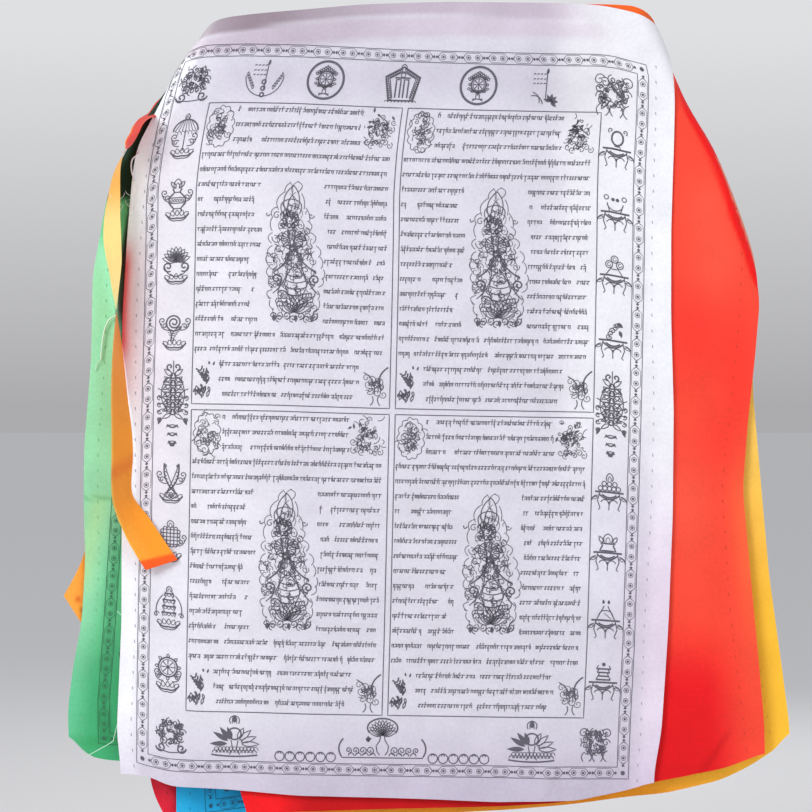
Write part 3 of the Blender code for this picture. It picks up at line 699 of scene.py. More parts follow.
blueFrame = {
    "top": [(-240, -62), (268, -62)], "bottom": [(-227, -919), (100, -880), (290, -842)],
    "left": [(-62, -240), (-300, -268), (-600, -250), (-870, -229), (-919, -227)],
    "right": [(-62, 268), (-842, 290)],
}
crimsonFrame = {
    "top": [(-214, -62), (285, -62)], "bottom": [(-234, -886), (40, -862), (310, -836)],
    "left": [(-62, -214), (-307, -216), (-600, -236), (-886, -234)],
    "right": [(-62, 285), (-211, 332), (-307, 342), (-600, 334), (-836, 310)],
}


def onLayout(lines, x, y):
    # blends the frame's four outer lines, so that what lies between them follows their bends
    s, t = x / layout["width"], y / layout["height"]

    def side(rows, share):
        table = np.array(rows, float)
        first = table[0, 0] + (table[-1, 0] - table[0, 0]) * share
        order = np.argsort(table[:, 0])
        return first, np.interp(first, table[order, 0], table[order, 1])

    topA, topB = side(lines["top"], s)
    lowA, lowB = side(lines["bottom"], s)
    leftB, leftA = side(lines["left"], t)
    rightB, rightA = side(lines["right"], t)
    corners = [np.array(lines[edge][end], float) for edge, end in
               (("top", 0), ("top", -1), ("bottom", 0), ("bottom", -1))]
    flatten = [(1 - s) * (1 - t) * corners[0][k] + s * (1 - t) * corners[1][k] + (1 - s) * t * corners[2][k]
               + s * t * corners[3][k] for k in (0, 1)]
    a = (1 - t) * topA + t * lowA + (1 - s) * leftA + s * rightA - flatten[0]
    b = (1 - t) * topB + t * lowB + (1 - s) * leftB + s * rightB - flatten[1]
    return a, b


def newMarks():
    return {"lines": [], "fills": []}


def draw(marks, points, width=None):
    marks["lines"].append((np.array(points, float), width or layout["line"]))


def fill(marks, points):
    marks["fills"].append(np.array(points, float))


def arc(x, y, radius, start, end, count=10, tall=1.0):
    turns = np.radians(np.linspace(start, end, count))
    return np.stack([x + radius * np.cos(turns), y + radius * tall * np.sin(turns)], axis=-1)


def circle(x, y, radius, count):
    return arc(x, y, radius, 0, 360, count)


def dot(marks, x, y, radius, count):
    fill(marks, circle(x, y, radius, count)[:-1])


def curl(x, y, radius, start, turns, way=1, count=16):
    # a scroll that winds in towards (x, y)
    share = np.linspace(0, 1, count)
    angle = math.radians(start) + way * share * turns * 2 * math.pi
    size = radius * (1 - 0.85 * share)
    return np.stack([x + size * np.cos(angle), y + size * np.sin(angle)], axis=-1)


def bow(start, end, sag, count=8):
    # a curved line from start to end, sag to its left
    share = np.linspace(0, 1, count)[:, None]
    start, end = np.array(start, float), np.array(end, float)
    run = end - start
    normal = np.array([run[1], -run[0]]) / max(np.linalg.norm(run), 1e-6)
    return start + run * share + normal * sag * 4 * share * (1 - share)


def leaf(x, y, angle, length, width, count=7):
    share = np.linspace(0, 1, count)
    half = width / 2 * np.sin(math.pi * share ** 0.8)
    turn = math.radians(angle)
    along, aside = np.array([math.cos(turn), math.sin(turn)]), np.array([-math.sin(turn), math.cos(turn)])
    near = np.array([x, y]) + share[:, None] * length * along
    return np.concatenate([near + half[:, None] * aside, (near - half[:, None] * aside)[::-1][1:]])


def mirrored(points):
    return points * np.array([-1.0, 1.0])


def both(marks, points, width=None):
    draw(marks, points, width)
    draw(marks, mirrored(np.array(points, float)), width)


def stamp(marks, motif, x, y, scale=1.0, turn=0.0):
    angle = math.radians(turn)
    spin = np.array([[math.cos(angle), math.sin(angle)], [-math.sin(angle), math.cos(angle)]])
    for points, width in motif["lines"]:
        draw(marks, (points * scale) @ spin + np.array([x, y]), width)
    for points in motif["fills"]:
        fill(marks, (points * scale) @ spin + np.array([x, y]))


def lotusBase(marks, y, width):
    both(marks, bow((0, y + 3.4), (width, y - 1.5), -2.5), bold)
    both(marks, bow((0, y + 6.0), (width * 0.8, y + 2.2), -2.0))
    for step in range(3):
        both(marks, leaf(step * width * 0.3, y + 1, -90 + step * 24, 6.5, 4.2), fine)


def sideScrolls(marks, y, reach, size):
    both(marks, curl(reach, y, size, 90, 1.2, -1))
    both(marks, curl(reach * 0.8, y + size * 1.5, size * 0.8, 200, 1.1, 1))
    both(marks, bow((reach * 0.4, y + size * 2.6), (reach + size * 0.6, y + size * 0.6), -3))


def flame(marks, x, y, height, width):
    draw(marks, bow((x - width / 2, y), (x, y - height), width * 0.35))
    draw(marks, bow((x + width / 2, y), (x, y - height), -width * 0.35))
    draw(marks, bow((x - width / 4, y), (x, y - height * 0.6), width * 0.15), fine)
    draw(marks, bow((x + width / 4, y), (x, y - height * 0.6), -width * 0.15), fine)


def parasolMotif():
    m = newMarks()
    flame(m, 0, -19, 6, 4)
    draw(m, arc(0, -6, 14, 180, 360, 14, 0.9), bold)
    for x in range(-12, 13, 4):
        draw(m, bow((x, -6), (x + 4 if x < 12 else x, -2), 1.4, 4), fine)
        draw(m, [(x * 0.4, -18), (x, -6)], fine)
    draw(m, [(0, -6), (0, 16)])
    sideScrolls(m, 0, 11, 4.2)
    lotusBase(m, 18, 13)
    return m


def fishMotif():
    m = newMarks()
    for flip in (-1, 1):
        body = bow((flip * 8, -18), (flip * -5, 14), flip * 5, 10)
        draw(m, body, bold)
        draw(m, bow((flip * 8, -18), (flip * -5, 14), flip * 1, 10))
        for step in range(2, 8):
            draw(m, body[step] + np.array([(0, 0), (-flip * 2.6, 1.6)]), fine)
        draw(m, leaf(flip * -5, 14, 60 if flip > 0 else 120, 8, 5))
        draw(m, circle(flip * 6.5, -15.5, 1.0, 6))
    sideScrolls(m, -6, 13, 4)
    lotusBase(m, 19, 13)
    return m


def vaseMotif():
    m = newMarks()
    flame(m, 0, -12, 11, 7)
    both(m, leaf(2, -13, -50, 9, 4))
    both(m, [(5, -12), (3, -8), (9, -2), (9, 4), (4, 10), (5, 13)], bold)
    for y in (-8, -2, 4, 10):
        draw(m, [(-9 if -4 < y < 6 else -4, y), (9 if -4 < y < 6 else 4, y)])
    for x in range(-6, 7, 3):
        draw(m, circle(x, 1, 1.4, 7), fine)
    sideScrolls(m, -8, 14, 4)
    lotusBase(m, 17, 13)
    return m


def lotusMotif():
    m = newMarks()
    for angle in range(-168, 0, 19):
        draw(m, leaf(0, -2, angle, 16, 7))
        draw(m, leaf(0, -2, angle + 9, 10, 4), fine)
    both(m, curl(9, 4, 6, 120, 1.3, -1), bold)
    both(m, bow((0, 15), (13, 4), -3))
    dot(m, 0, -3, 3.2, 10)
    lotusBase(m, 17, 13)
    return m


def conchMotif():
    m = newMarks()
    draw(m, curl(-1, -6, 10, 30, 2.4, 1, 30), bold)
    draw(m, bow((8, -2), (-4, 15), -4))
    draw(m, bow((-10, -3), (-4, 15), 3))
    for step in range(5):
        draw(m, bow((7 - step * 2, 1 + step * 2.6), (-9 + step * 1.2, 2 + step * 2.6), 2), fine)
    sideScrolls(m, -8, 14, 4)
    lotusBase(m, 18, 13)
    return m


def knotMotif():
    m = newMarks()
    for step in range(-2, 3):
        draw(m, [(-9, step * 4 - 4), (9, step * 4 - 4)])
        draw(m, [(step * 4, -13), (step * 4, 5)])
    for step in range(-2, 2):
        both(m, arc(9, step * 4 - 2, 2, -90, 90, 6))
        draw(m, arc(step * 4 + 2, -13, 2, 180, 360, 6))
        draw(m, arc(step * 4 + 2, 5, 2, 0, 180, 6))
    flame(m, 0, -15, 7, 6)
    sideScrolls(m, -4, 15, 3.6)
    lotusBase(m, 17, 13)
    return m


def bannerMotif():
    m = newMarks()
    flame(m, 0, -18, 6, 5)
    for step, half in enumerate((5, 7, 7.5, 8)):
        y = -18 + step * 7
        both(m, [(half * 0.6, y), (half, y + 2), (half * 0.8, y + 6.5)])
        draw(m, [(-half, y + 2), (half, y + 2)], bold)
        for x in range(-4, 5, 4):
            draw(m, bow((x - 2, y + 3), (x + 2, y + 3), -2.4, 5), fine)
    both(m, bow((7, -14), (14, 8), 3))
    both(m, curl(14, 8, 3.4, 200, 1.1, 1))
    lotusBase(m, 17, 13)
    return m


def wheelMotif(radius=10.5):
    m = newMarks()
    draw(m, circle(0, -4, radius, 24), bold)
    draw(m, circle(0, -4, radius * 0.78, 20), fine)
    dot(m, 0, -4, radius * 0.22, 8)
    for angle in range(0, 360, 45):
        turn = math.radians(angle)
        tip = np.array([math.cos(turn), math.sin(turn)])
        draw(m, [tip * radius * 0.25 + (0, -4), tip * radius * 0.78 + (0, -4)])
        draw(m, leaf(*(tip * radius * 1.02 + (0, -4)), angle, radius * 0.36, radius * 0.3, 5))
    return m


def jewelWheelMotif():
    m = wheelMotif()
    sideScrolls(m, 2, 12, 3.6)
    lotusBase(m, 17, 13)
    return m


def medallionMotif():
    m = newMarks()
    draw(m, circle(0, 0, 21, 40), bold)
    draw(m, circle(0, 0, 19.6, 36), fine)
    stamp(m, wheelMotif(8.5), 0, 3)
    for step in range(-5, 6):
        draw(m, leaf(step * 1.9, -5.5 - (5 - abs(step)) * 1.3, -90 + step * 9, 4.2, 2.4, 5))
        draw(m, leaf(step * 1.9, 3 + (5 - abs(step)) * 0.6, 90 - step * 14, 3.4, 2.2, 5), fine)
    both(m, [(2, 10), (2, 15), (6, 17)])
    draw(m, [(-6, 15), (6, 15)])
    return m


def shrineMotif():
    m = newMarks()
    flame(m, 0, -15, 6, 5)
    both(m, [(0, -18), (20, -7), (14, 19), (0, 19)], bold)
    both(m, [(0, -13), (15, -5), (10, 16)])
    both(m, [(2, 16), (2, -4), (7, -4), (7, 16)], bold)
    draw(m, [(-9, -6), (9, -6)], bold)
    draw(m, circle(0, -9, 2.6, 9))
    for step in range(9):
        share = step / 8
        for flip in (-1, 1):
            draw(m, circle(flip * (3 + 15 * share), -14 + 8.5 * share, 1.3, 7))
            draw(m, circle(flip * (17.5 - 5.5 * share), -3 + 20 * share, 1.4, 7))
    for x in range(-16, 17, 4):
        draw(m, arc(x, 21, 2, 180, 360, 5), fine)
    return m


def flagPoleMotif(bird=False):
    m = newMarks()
    draw(m, [(2, -20), (1, 12)])
    fill(m, leaf(1.5, -14, -75, 7, 3))
    for y in (-14, -8.5, -3.5):
        for x in range(-14, 1, 4):
            draw(m, [(x, y), (x + 2.6, y - 0.8)])
    if bird:
        for angle in (-160, -120, -80, -40, 0, 40):
            fill(m, leaf(7, 16, angle, 9, 4))
        draw(m, bow((-14, 6), (-6, 18), 3))
        draw(m, bow((-16, 10), (-2, 19), 4))
        return m
    both(m, bow((0, 20), (22, -2), -6))
    for step in range(6):
        both(m, leaf(12 + step * 1.7, 12 - step * 2.8, -100, 5, 2, 5), fine)
    for y in (4, 11, 18):
        draw(m, circle(0, y, 2.3, 9), bold)
    return m


def tableMotif(kind):
    # a low table with curled feet, and an offering on it
    m = newMarks()
    draw(m, [(-16, 2), (16, 2)], 2.0)
    draw(m, bow((-11, 5), (11, 5), -5), bold)
    draw(m, bow((-8, 5), (8, 5), -3), bold)
    both(m, [(11, 3), (13, 12), (10, 20), (12, 22)])
    both(m, arc(5, 15, 4.5, 180, 340, 8))
    both(m, bow((13, 6), (20, 13), 2))
    draw(m, [(0, 12), (0, 22)])
    both(m, leaf(13, 8, 20, 7, 2.5, 5), fine)
    if kind == 0:
        draw(m, arc(0, -10, 6.5, 0, 360, 16, 1.2), 2.0)
        both(m, curl(8, -18, 3, 60, 1.0, -1))
        draw(m, [(-3, -1), (3, -1), (5, 2), (-5, 2)])
    elif kind == 1:
        draw(m, arc(0, -8, 9, 10, 170, 10, 0.9))
        for x in (-2.5, 2.5):
            dot(m, x, -12, 2.1, 8)
        both(m, circle(10, -14, 2.6, 8))
        both(m, [(6, 2), (9, -8)])
    elif kind == 2:
        for x, y in ((-6, -10), (6, -10), (0, -16)):
            draw(m, circle(x, y, 4, 10))
            draw(m, arc(x, y, 2, 0, 300, 7), fine)
        both(m, [(9, 1), (3, -7)])
        draw(m, [(-3, -5), (3, -5)])
    elif kind == 3:
        for step in range(5):
            draw(m, curl(-5 + step * 2.2, -2 - step * 3.4, 3.6, step * 80, 1.3))
        fill(m, leaf(4, -18, 30, 8, 5))
        fill(m, leaf(7, -10, 70, 8, 4))
    elif kind == 4:
        for x in range(-10, 11, 5):
            draw(m, circle(x, -2, 2.6, 9))
        for x in (-6, 0, 6):
            draw(m, circle(x, -7, 2.6, 9))
        flame(m, 0, -10, 9, 6)
    elif kind == 5:
        both(m, [(0, 0), (9, 0), (6, -6), (8, -8), (0, -8)], bold)
        flame(m, 0, -9, 10, 8)
        both(m, leaf(6, -9, -60, 8, 4))
    elif kind == 6:
        both(m, [(10, 1), (2, -14)])
        both(m, bow((8, -3), (0, -9), -2))
        for x in (-3, 3):
            fill(m, leaf(x, -16, -90, 5, 3))
        draw(m, [(-2, -6), (6, 0)], fine)
    else:
        for step, half in enumerate((8, 6, 7, 8)):
            draw(m, [(-half, -1 - step * 4), (half, -1 - step * 4)], bold)
            both(m, [(half, -1 - step * 4), (half - 2, -5 - step * 4)])
        dot(m, 0, -18, 2.2, 8)
    return m


def emblemMotif():
    # the tall ornament half way down each side
    m = newMarks()
    both(m, curl(4, -40, 4, 90, 1.0, -1), bold)
    draw(m, [(0, -47), (0, -34)])
    for step in range(6):
        y = -30 + step * 8
        both(m, leaf(1, y, -38, 12 - step * 0.5, 4.6))
        both(m, leaf(2, y + 2, 30, 11, 4))
        draw(m, circle(0, y, 3.0, 8), bold)
    both(m, arc(0, -10, 13, -70, 60, 12, 1.5))
    for step in range(4):
        both(m, bow((6, 2 + step * 3), (17, -16 + step * 9), 4))
        both(m, curl(15, -6 + step * 8, 3, 100 + step * 30, 1.1, -1))
    fill(m, leaf(13, 16, 70, 9, 4))
    fill(m, mirrored(leaf(13, 16, 70, 9, 4)))
    for step in range(3):
        draw(m, bow((-6 + step, 24 + step * 9), (6 - step, 24 + step * 9), -3), bold)
        draw(m, bow((-7 + step, 27 + step * 9), (7 - step, 27 + step * 9), 3))
    fill(m, [(-4, 44), (4, 44), (2, 48), (-2, 48)])
    return m


def offeringMotif():
    m = newMarks()
    flame(m, 0, -16, 9, 9)
    fill(m, leaf(0, -17, -90, 9, 6))
    draw(m, arc(0, -5, 7.5, 0, 360, 16, 0.85), bold)
    for angle, size in ((-150, 20), (-130, 18), (-112, 14), (-20, 18), (-42, 17), (-62, 14), (180, 20),
            (0, 20)):
        turn = math.radians(angle)
        x, y = math.cos(turn) * 8, math.sin(turn) * 6 + 6
        (fill if angle < -100 or angle == 180 else draw)(m, leaf(x, y, angle, size, 5.5))
    for x in range(-22, 23, 4):
        draw(m, arc(x, 16, 3, 180, 360, 6))
        draw(m, arc(x + 2, 12, 2.6, 160, 380, 6), fine)
    draw(m, bow((-26, 18), (26, 18), -2), bold)
    both(m, [(4, 2), (2, 12), (6, 18)])
    return m


def lotusVaseMotif():
    m = newMarks()
    for angle in range(-165, 0, 15):
        draw(m, leaf(0, -8, angle, 17, 6))
    draw(m, arc(0, -16, 17, 150, 390, 22, 0.62), bold)
    both(m, [(2, -8), (3, -2), (7, 4), (6, 10), (3, 14)])
    for flip in (-1, 1):
        for step in range(4):
            draw(m, curl(flip * (14 + step * 8), 9, 5 - step * 0.4, 90, 1.4, flip))
            draw(m, arc(flip * (11 + step * 8), 15, 3.2, 180, 360, 7))
        draw(m, bow((flip * 44, -4), (flip * 46, 16), flip * 4), bold)
    draw(m, [(-46, 17), (46, 17)])
    fill(m, leaf(-16, 0, -90, 7, 5))
    fill(m, leaf(-19, -3, -10, 7, 4))
    return m


def cornerMotif(kind, seed):
    # leaf and cloud bunches for the corners
    m = newMarks()
    rng = np.random.default_rng(seed)

    def bunch(count, reachX, reachY, small, large, thick):
        for step in range(count):
            x, y = rng.normal(0, reachX * 0.5), rng.normal(0, reachY * 0.5)
            x, y = float(np.clip(x, -reachX, reachX)), float(np.clip(y, -reachY, reachY))
            rng.random()                        # not used: it keeps the later draws as they are
            if step % 2:
                draw(m, bow((x, y), (x + rng.uniform(-large, large), y + rng.uniform(-large, large)),
                    rng.uniform(-3, 3), 5), thick)
            else:
                draw(m, curl(x, y, rng.uniform(small, large) * 0.6, rng.uniform(0, 360), 1.2,
                    1 if step % 4 else -1, 9), thick)

    if kind == "cloud":
        for step in range(13):
            turn = math.radians(step * 27.7)
            draw(m, bow((math.cos(turn) * 13, math.sin(turn) * 21),
                (math.cos(turn + 0.5) * 13, math.sin(turn + 0.5) * 21), 3, 6), fine)
        bunch(46, 12, 19, 5, 9, fine)
    elif kind == "bloom":
        bunch(44, 16, 19, 4, 8, fine)
        for step in range(17):
            x, y = rng.normal(-3, 6), rng.normal(-4, 6)
            fill(m, leaf(x, y, rng.uniform(0, 360), rng.uniform(4, 7), 2.6, 5))
        for step in range(6):
            draw(m, curl(-12 + step * 5.2, 14 + (step % 2) * 3, 4, step * 60, 1.2, 1, 10), fine)
    elif kind == "tuft":
        for step in range(15):
            fill(m, leaf(rng.normal(1, 3), rng.normal(-7, 4), rng.uniform(0, 360), rng.uniform(4, 6), 2.2, 5))
        for step in range(5):
            draw(m, bow((-12 + step * 2, -14 + step * 3), (-5 + step * 2, -17 + step * 3), -4, 6), bold)
        for step in range(16):
            x = rng.uniform(-13, 4)
            y = rng.uniform(2, 12)
            petal = leaf(x, y, rng.uniform(40, 130), rng.uniform(4, 8), rng.uniform(1.8, 2.8), 5)
            (fill if step % 2 else draw)(m, petal)
    else:
        draw(m, bow((15, -20), (8, 6), -6, 12), bold)
        draw(m, bow((-12, -14), (0, 10), 5, 10))
        for step in range(9):
            way = 1 if step % 2 else -1
            draw(m, curl(-9 + step * 2.4, -8 + (step * 7) % 19, 4.6, step * 67, 1.2, way, 12), fine)
        draw(m, bow((-2, 12), (-4, 22), 2))
        draw(m, bow((5, 12), (7, 22), -2))
        bunch(12, 10, 10, 4, 8, fine)
    return m


def frameCornerMotif(kind, seed):
    # denser bunches for the frame's own corners
    m = newMarks()
    rng = np.random.default_rng(seed)
    for step in range(11):
        turn = 2 * math.pi * step / 11
        draw(m, curl(math.cos(turn) * 13, math.sin(turn) * 12 - 2, 5, math.degrees(turn), 1.3,
                     1 if step % 2 else -1, 14))
    for step in range(22):
        x, y = rng.uniform(-11, 11), rng.uniform(-12, 8)
        petal = leaf(x, y, rng.uniform(0, 360), rng.uniform(5, 9), rng.uniform(2.2, 3.6))
        (fill if step % 3 == 0 else draw)(m, petal)
    for step in range(14):
        draw(m, curl(rng.uniform(-13, 13), rng.uniform(-13, 11), rng.uniform(2.4, 4.4), rng.uniform(0, 360),
            1.2, 1, 10), fine)
    if kind == "tail":
        both(m, curl(14, -13, 6, 200, 1.3, 1))
        for step in range(5):
            draw(m, bow((-12 + step * 6, 9), (-14 + step * 7, 20), 3 if step % 2 else -3, 7))
    else:
        both(m, curl(12, 16, 6, 0, 1.3, 1), bold)
        draw(m, bow((-18, 18), (18, 18), -3))
    return m


def figureMotif():
    # the upright ornament of each panel: a flaming jewel over a vase and a lotus, in clouds and ribbons
    m = newMarks()
    rng = np.random.default_rng(5)
    outline = [(-79, 3), (-66, 8), (-50, 13.5), (-38, 18), (-24, 20), (-10, 23), (2, 27), (14, 28),
        (26, 26.5), (38, 24), (50, 25), (62, 23), (74, 16)]
    for shift, thick in ((0, fine), (-9, 0.6)):
        for (startY, start), (endY, end) in zip(outline, outline[1:]):
            for flip in (-1, 1):
                rough = rng.uniform(-2.2, 2.2, 4)
                draw(m, bow((flip * (start + shift + rough[0]), startY + rough[1]),
                    (flip * (end + shift + rough[2]), endY + rough[3]), flip * rng.uniform(1.8, 4.8), 7),
                    thick)
    for (startY, start), (endY, end) in zip(outline[2:], outline[3:]):
        for flip in (-1, 1):
            draw(m, curl(flip * (start - 8), (startY + endY) / 2, 4.2, rng.uniform(0, 360), 1.2, flip, 12),
                fine)
    flame(m, 0, -48, 27, 13)
    flame(m, 0, -44, 16, 18)
    for ring, (radius, y) in enumerate(((8.5, -37), (11, -15), (9, 6))):
        draw(m, circle(0, y, radius, 18))
        for angle in range(0, 360, 36):
            turn = math.radians(angle)
            tip = leaf(math.cos(turn) * radius * 0.4, y + math.sin(turn) * radius * 0.4, angle, radius * 0.8,
                3.0, 5)
            (fill if (angle // 36 + ring) % 4 == 0 else draw)(m, tip)
    for step in range(110):
        y = rng.uniform(-56, 60)
        wide = np.interp(y, [-56, -30, 0, 30, 60], [9, 21, 29, 27, 25])
        x = float(np.clip(rng.normal(0, wide * 0.54), -29, 29))
        angle = rng.uniform(0.2, 1.4) * (1 if x > 0 else -1) + math.pi / 2
        size = rng.uniform(4, 10)
        end = (x + math.cos(angle) * size, y + math.sin(angle) * size)
        draw(m, bow((x, y), end, rng.uniform(-4, 4), 6), rng.choice([0.65, 0.8, 1.1]))
    for step in range(44):
        y = rng.uniform(-44, 60)
        draw(m, curl(float(np.clip(rng.normal(0, 15), -26, 26)), y, rng.uniform(2.6, 6.2),
            rng.uniform(0, 360), 1.1, 1 if step % 2 else -1, 11), rng.choice([0.7, 0.95]))
    both(m, bow((4, -24), (22, 20), -9, 12), bold)
    both(m, bow((7, 0), (24, 44), -6, 12))
    for flip in (-1, 1):
        draw(m, curl(flip * 20, 28, 6.4, 90, 1.5, flip, 16), bold)
        draw(m, curl(flip * 13, 46, 6, 200, 1.4, -flip, 14))
    both(m, [(4, 16), (9, 24), (12, 34), (8, 44), (5, 52)])
    for y in (22, 29, 36, 43):
        draw(m, bow((-11, y), (11, y), -3))
    for angle in range(-160, 0, 20):
        draw(m, leaf(0, 64, angle, 18, 7))
    for step in range(7):
        draw(m, curl(-22 + step * 7.3, 68 + (step % 2) * 3, 4.4, 90, 1.3, 1 if step % 2 else -1, 12))
    for x in (-21, 2, 19):
        fill(m, leaf(x, 67, 80, 8, 4))

    def lean(points):
        # wider, and leaning a little from side to side
        return np.stack([points[:, 0] * 1.06 + 3.5 * np.sin(points[:, 1] / 26) + 2.5, points[:, 1]], axis=-1)

    return {"lines": [(lean(points), width) for points, width in m["lines"]],
        "fills": [lean(points) for points in m["fills"]]}


def strokeRow(marks, rng, x, y, length):
    # a row of plain upright ticks under a head line, standing in for a line of words
    end = x + length
    while x < end - 2.5:
        group = rng.integers(4, 11)
        for _ in range(group):
            wide = rng.uniform(2.3, 3.5)
            if x + wide > end:
                return
            draw(marks, [(x, y - 2.4), (x + wide * 0.95, y - 2.3)], 1.0)
            kind = rng.integers(0, 6)
            stem = x + wide * (0.75 if kind % 2 else 0.35)
            foot = y + rng.choice([1.0, 1.4, 1.8, 4.2], p=[0.35, 0.3, 0.2, 0.15])
            draw(marks, [(stem, y - 2.3), (stem - 0.1, foot)], 0.88)
            if kind in (0, 3, 4):
                draw(marks, [(stem, y + 0.8), (stem - wide * 0.5, y - 0.4), (x + 0.2, y + 1.2)], 0.85)
            if kind in (1, 5):
                draw(marks, [(x + 0.3, y - 1.8), (x + 0.6, y + 1.0)], 0.85)
            if rng.random() < 0.22:
                draw(marks, [(x + 0.6, y - 3.4), (x + wide * 0.7, y - 4.9)], 0.9)
            x += wide + 0.35
        fill(marks, [(x, y - 2.8), (x + 0.8, y - 2.8), (x + 0.8, y - 2.0), (x, y - 2.0)])
        x += 1.7


# where each row of a panel runs, from and to, in the panel's own millimetres
panelRows = [
    [(35, 40), (46, 179)], [(35, 179)], [(35, 58), (67, 179)], [(2, 214)], [(2, 214)],
    [(2, 74), (143, 214)], [(2, 9), (20, 66), (145, 151), (158, 214)], [(2, 67), (143, 160), (168, 214)],
    [(2, 74), (147, 159), (163, 214)], [(2, 76), (147, 214)], [(2, 63), (144, 197), (203, 212)],
    [(2, 27), (38, 73), (146, 194), (199, 214)], [(2, 56), (64, 70), (144, 214)], [(2, 64), (144, 214)],
    [(2, 35), (42, 72), (144, 196), (201, 214)], [(2, 38), (42, 92), (97, 158), (163, 214)],
    [(2, 16), (19, 104), (109, 175), (180, 214)], [(30, 98), (102, 186)], [(30, 43), (48, 188)],
    [(34, 96), (100, 180)],
]


def drawPanel(marks, x, y, width, height, seed):
    rng = np.random.default_rng(seed)
    draw(marks, [(x, y), (x + width, y), (x + width, y + height), (x, y + height), (x, y)], 1.0)
    for row, parts in enumerate(panelRows):
        for start, end in parts:
            strokeRow(marks, rng, x + start, y + layout["rowFirst"] + row * layout["rowPitch"], end - start)
    stamp(marks, figureMotif(), x + 107, y + height * 0.497)
    for kind, ownSeed, fromLeft, fromTop in (("cloud", seed, 18, 26), ("bloom", seed + 7, 197, 25),
                                             ("tuft", 3, 16, height - 25), ("vine", 4, 203, height - 25)):
        stamp(marks, cornerMotif(kind, ownSeed), x + fromLeft, y + fromTop)


def drawBorder(marks):
    # double line all round, with long lozenges between, two roundels in each
    wide, high, strip = layout["width"], layout["height"], layout["strip"]
    for inset in (0.0, strip):
        corners = [(inset, inset), (wide - inset, inset), (wide - inset, high - inset), (inset, high - inset)]
        for start, end in zip(corners, corners[1:] + corners[:1]):
            draw(marks, [start, end], 0.75)

    def lozenge(x, y, length, upright):
        m = newMarks()
        half, tall = length * 0.41, strip * 0.39
        draw(m, [(-half, 0), (-half * 0.62, -tall), (half * 0.62, -tall), (half, 0), (half * 0.62, tall),
                 (-half * 0.62, tall), (-half, 0)], 0.5)
        for flip in (-1, 1):
            dot(m, flip * half * 0.44, 0, 1.5, 7)
            draw(m, circle(flip * half * 0.44, 0, 2.8, 9), 0.6)
            draw(m, bow((flip * half * 0.8, -2.2), (flip * half * 0.8, 2.2), flip * 1.6, 5), 0.6)
            fill(m, [(flip * (half - 0.8), 0), (flip * (half + 1.2), -1.9), (flip * (half + 2.6), 0),
                (flip * (half + 1.2), 1.9)])
        stamp(marks, m, x, y, 1.0, 90.0 if upright else 0.0)

    for step in range(layout["across"]):
        pitch = (wide - 2 * strip) / layout["across"]
        for y in (strip / 2, high - strip / 2):
            lozenge(strip + pitch * (step + 0.5), y, pitch, False)
    for step in range(layout["down"]):
        pitch = (high - 2 * strip) / layout["down"]
        for x in (strip / 2, wide - strip / 2):
            lozenge(x, strip + pitch * (step + 0.5), pitch, True)
    for x in (strip / 2, wide - strip / 2):
        for y in (strip / 2, high - strip / 2):
            dot(marks, x, y, 2.6, 9)


def drawWholePrint():
    marks = newMarks()
    drawBorder(marks)
    left, right, top, low = (layout[key] for key in ("panelLeft", "panelRight", "panelTop", "panelBottom"))
    wide, high = (right - left - layout["gutter"]) / 2, (low - top - layout["gutter"]) / 2
    for index in range(4):
        x = left + (index % 2) * (wide + layout["gutter"])
        y = top + (index // 2) * (high + layout["gutter"])
        drawPanel(marks, x, y, wide, high, 11 + index)
    for x, motif in ((113, flagPoleMotif()), (183.5, medallionMotif()), (272, shrineMotif()),
            (360, medallionMotif()), (437, flagPoleMotif(True))):
        stamp(marks, motif, x, 37)
    levels = (100, 170, 240, 312, 395, 480, 547, 622, 691)
    leftMotifs = (parasolMotif(), vaseMotif(), lotusMotif(), conchMotif(), emblemMotif(), fishMotif(),
        knotMotif(), bannerMotif(), jewelWheelMotif())
    for y, motif in zip(levels, leftMotifs):
        stamp(marks, motif, 34.5, y)
    for index, y in enumerate(levels):
        motif = emblemMotif() if index == 4 else tableMotif(index if index < 4 else index - 1)
        stamp(marks, motif, 523, y)
    for kind, seed, x, y, scale in (("curl", 21, 33, 40, 1.0), ("tail", 22, 516, 43, 1.18),
                                    ("curl", 23, 39, 760, 0.95), ("tail", 24, 517, 762, 0.95)):
        stamp(marks, frameCornerMotif(kind, seed), x, y, scale)
    for x in (110, 445):
        stamp(marks, offeringMotif(), x, 762)
    stamp(marks, lotusVaseMotif(), 277, 763)
    for start in (161, 334):
        for step in range(6):
            draw(marks, circle(start + step * 11.6, 780, 5.3, 14))
            draw(marks, arc(start + step * 11.6, 777.5, 2.0, 180, 360, 5))
    return marks


def ribbon(points, width):
    # the two sides of a line, resampled so that it can follow the cloth
    run = np.linalg.norm(np.diff(points, axis=0), axis=1)
    pieces = []
    for start, end, length in zip(points, points[1:], run):
        count = max(1, int(math.ceil(length / layout["stepOut"])))
        pieces += [start + (end - start) * step / count for step in range(count)]
    line = np.array(pieces + [points[-1]])
    ahead = unit(np.diff(line, axis=0))
    tangent = unit(np.concatenate([ahead[:1], ahead[:-1] + ahead[1:], ahead[-1:]]))
    normal = np.stack([-tangent[:, 1], tangent[:, 0]], axis=-1) * width / 2
    return line + normal, line - normal


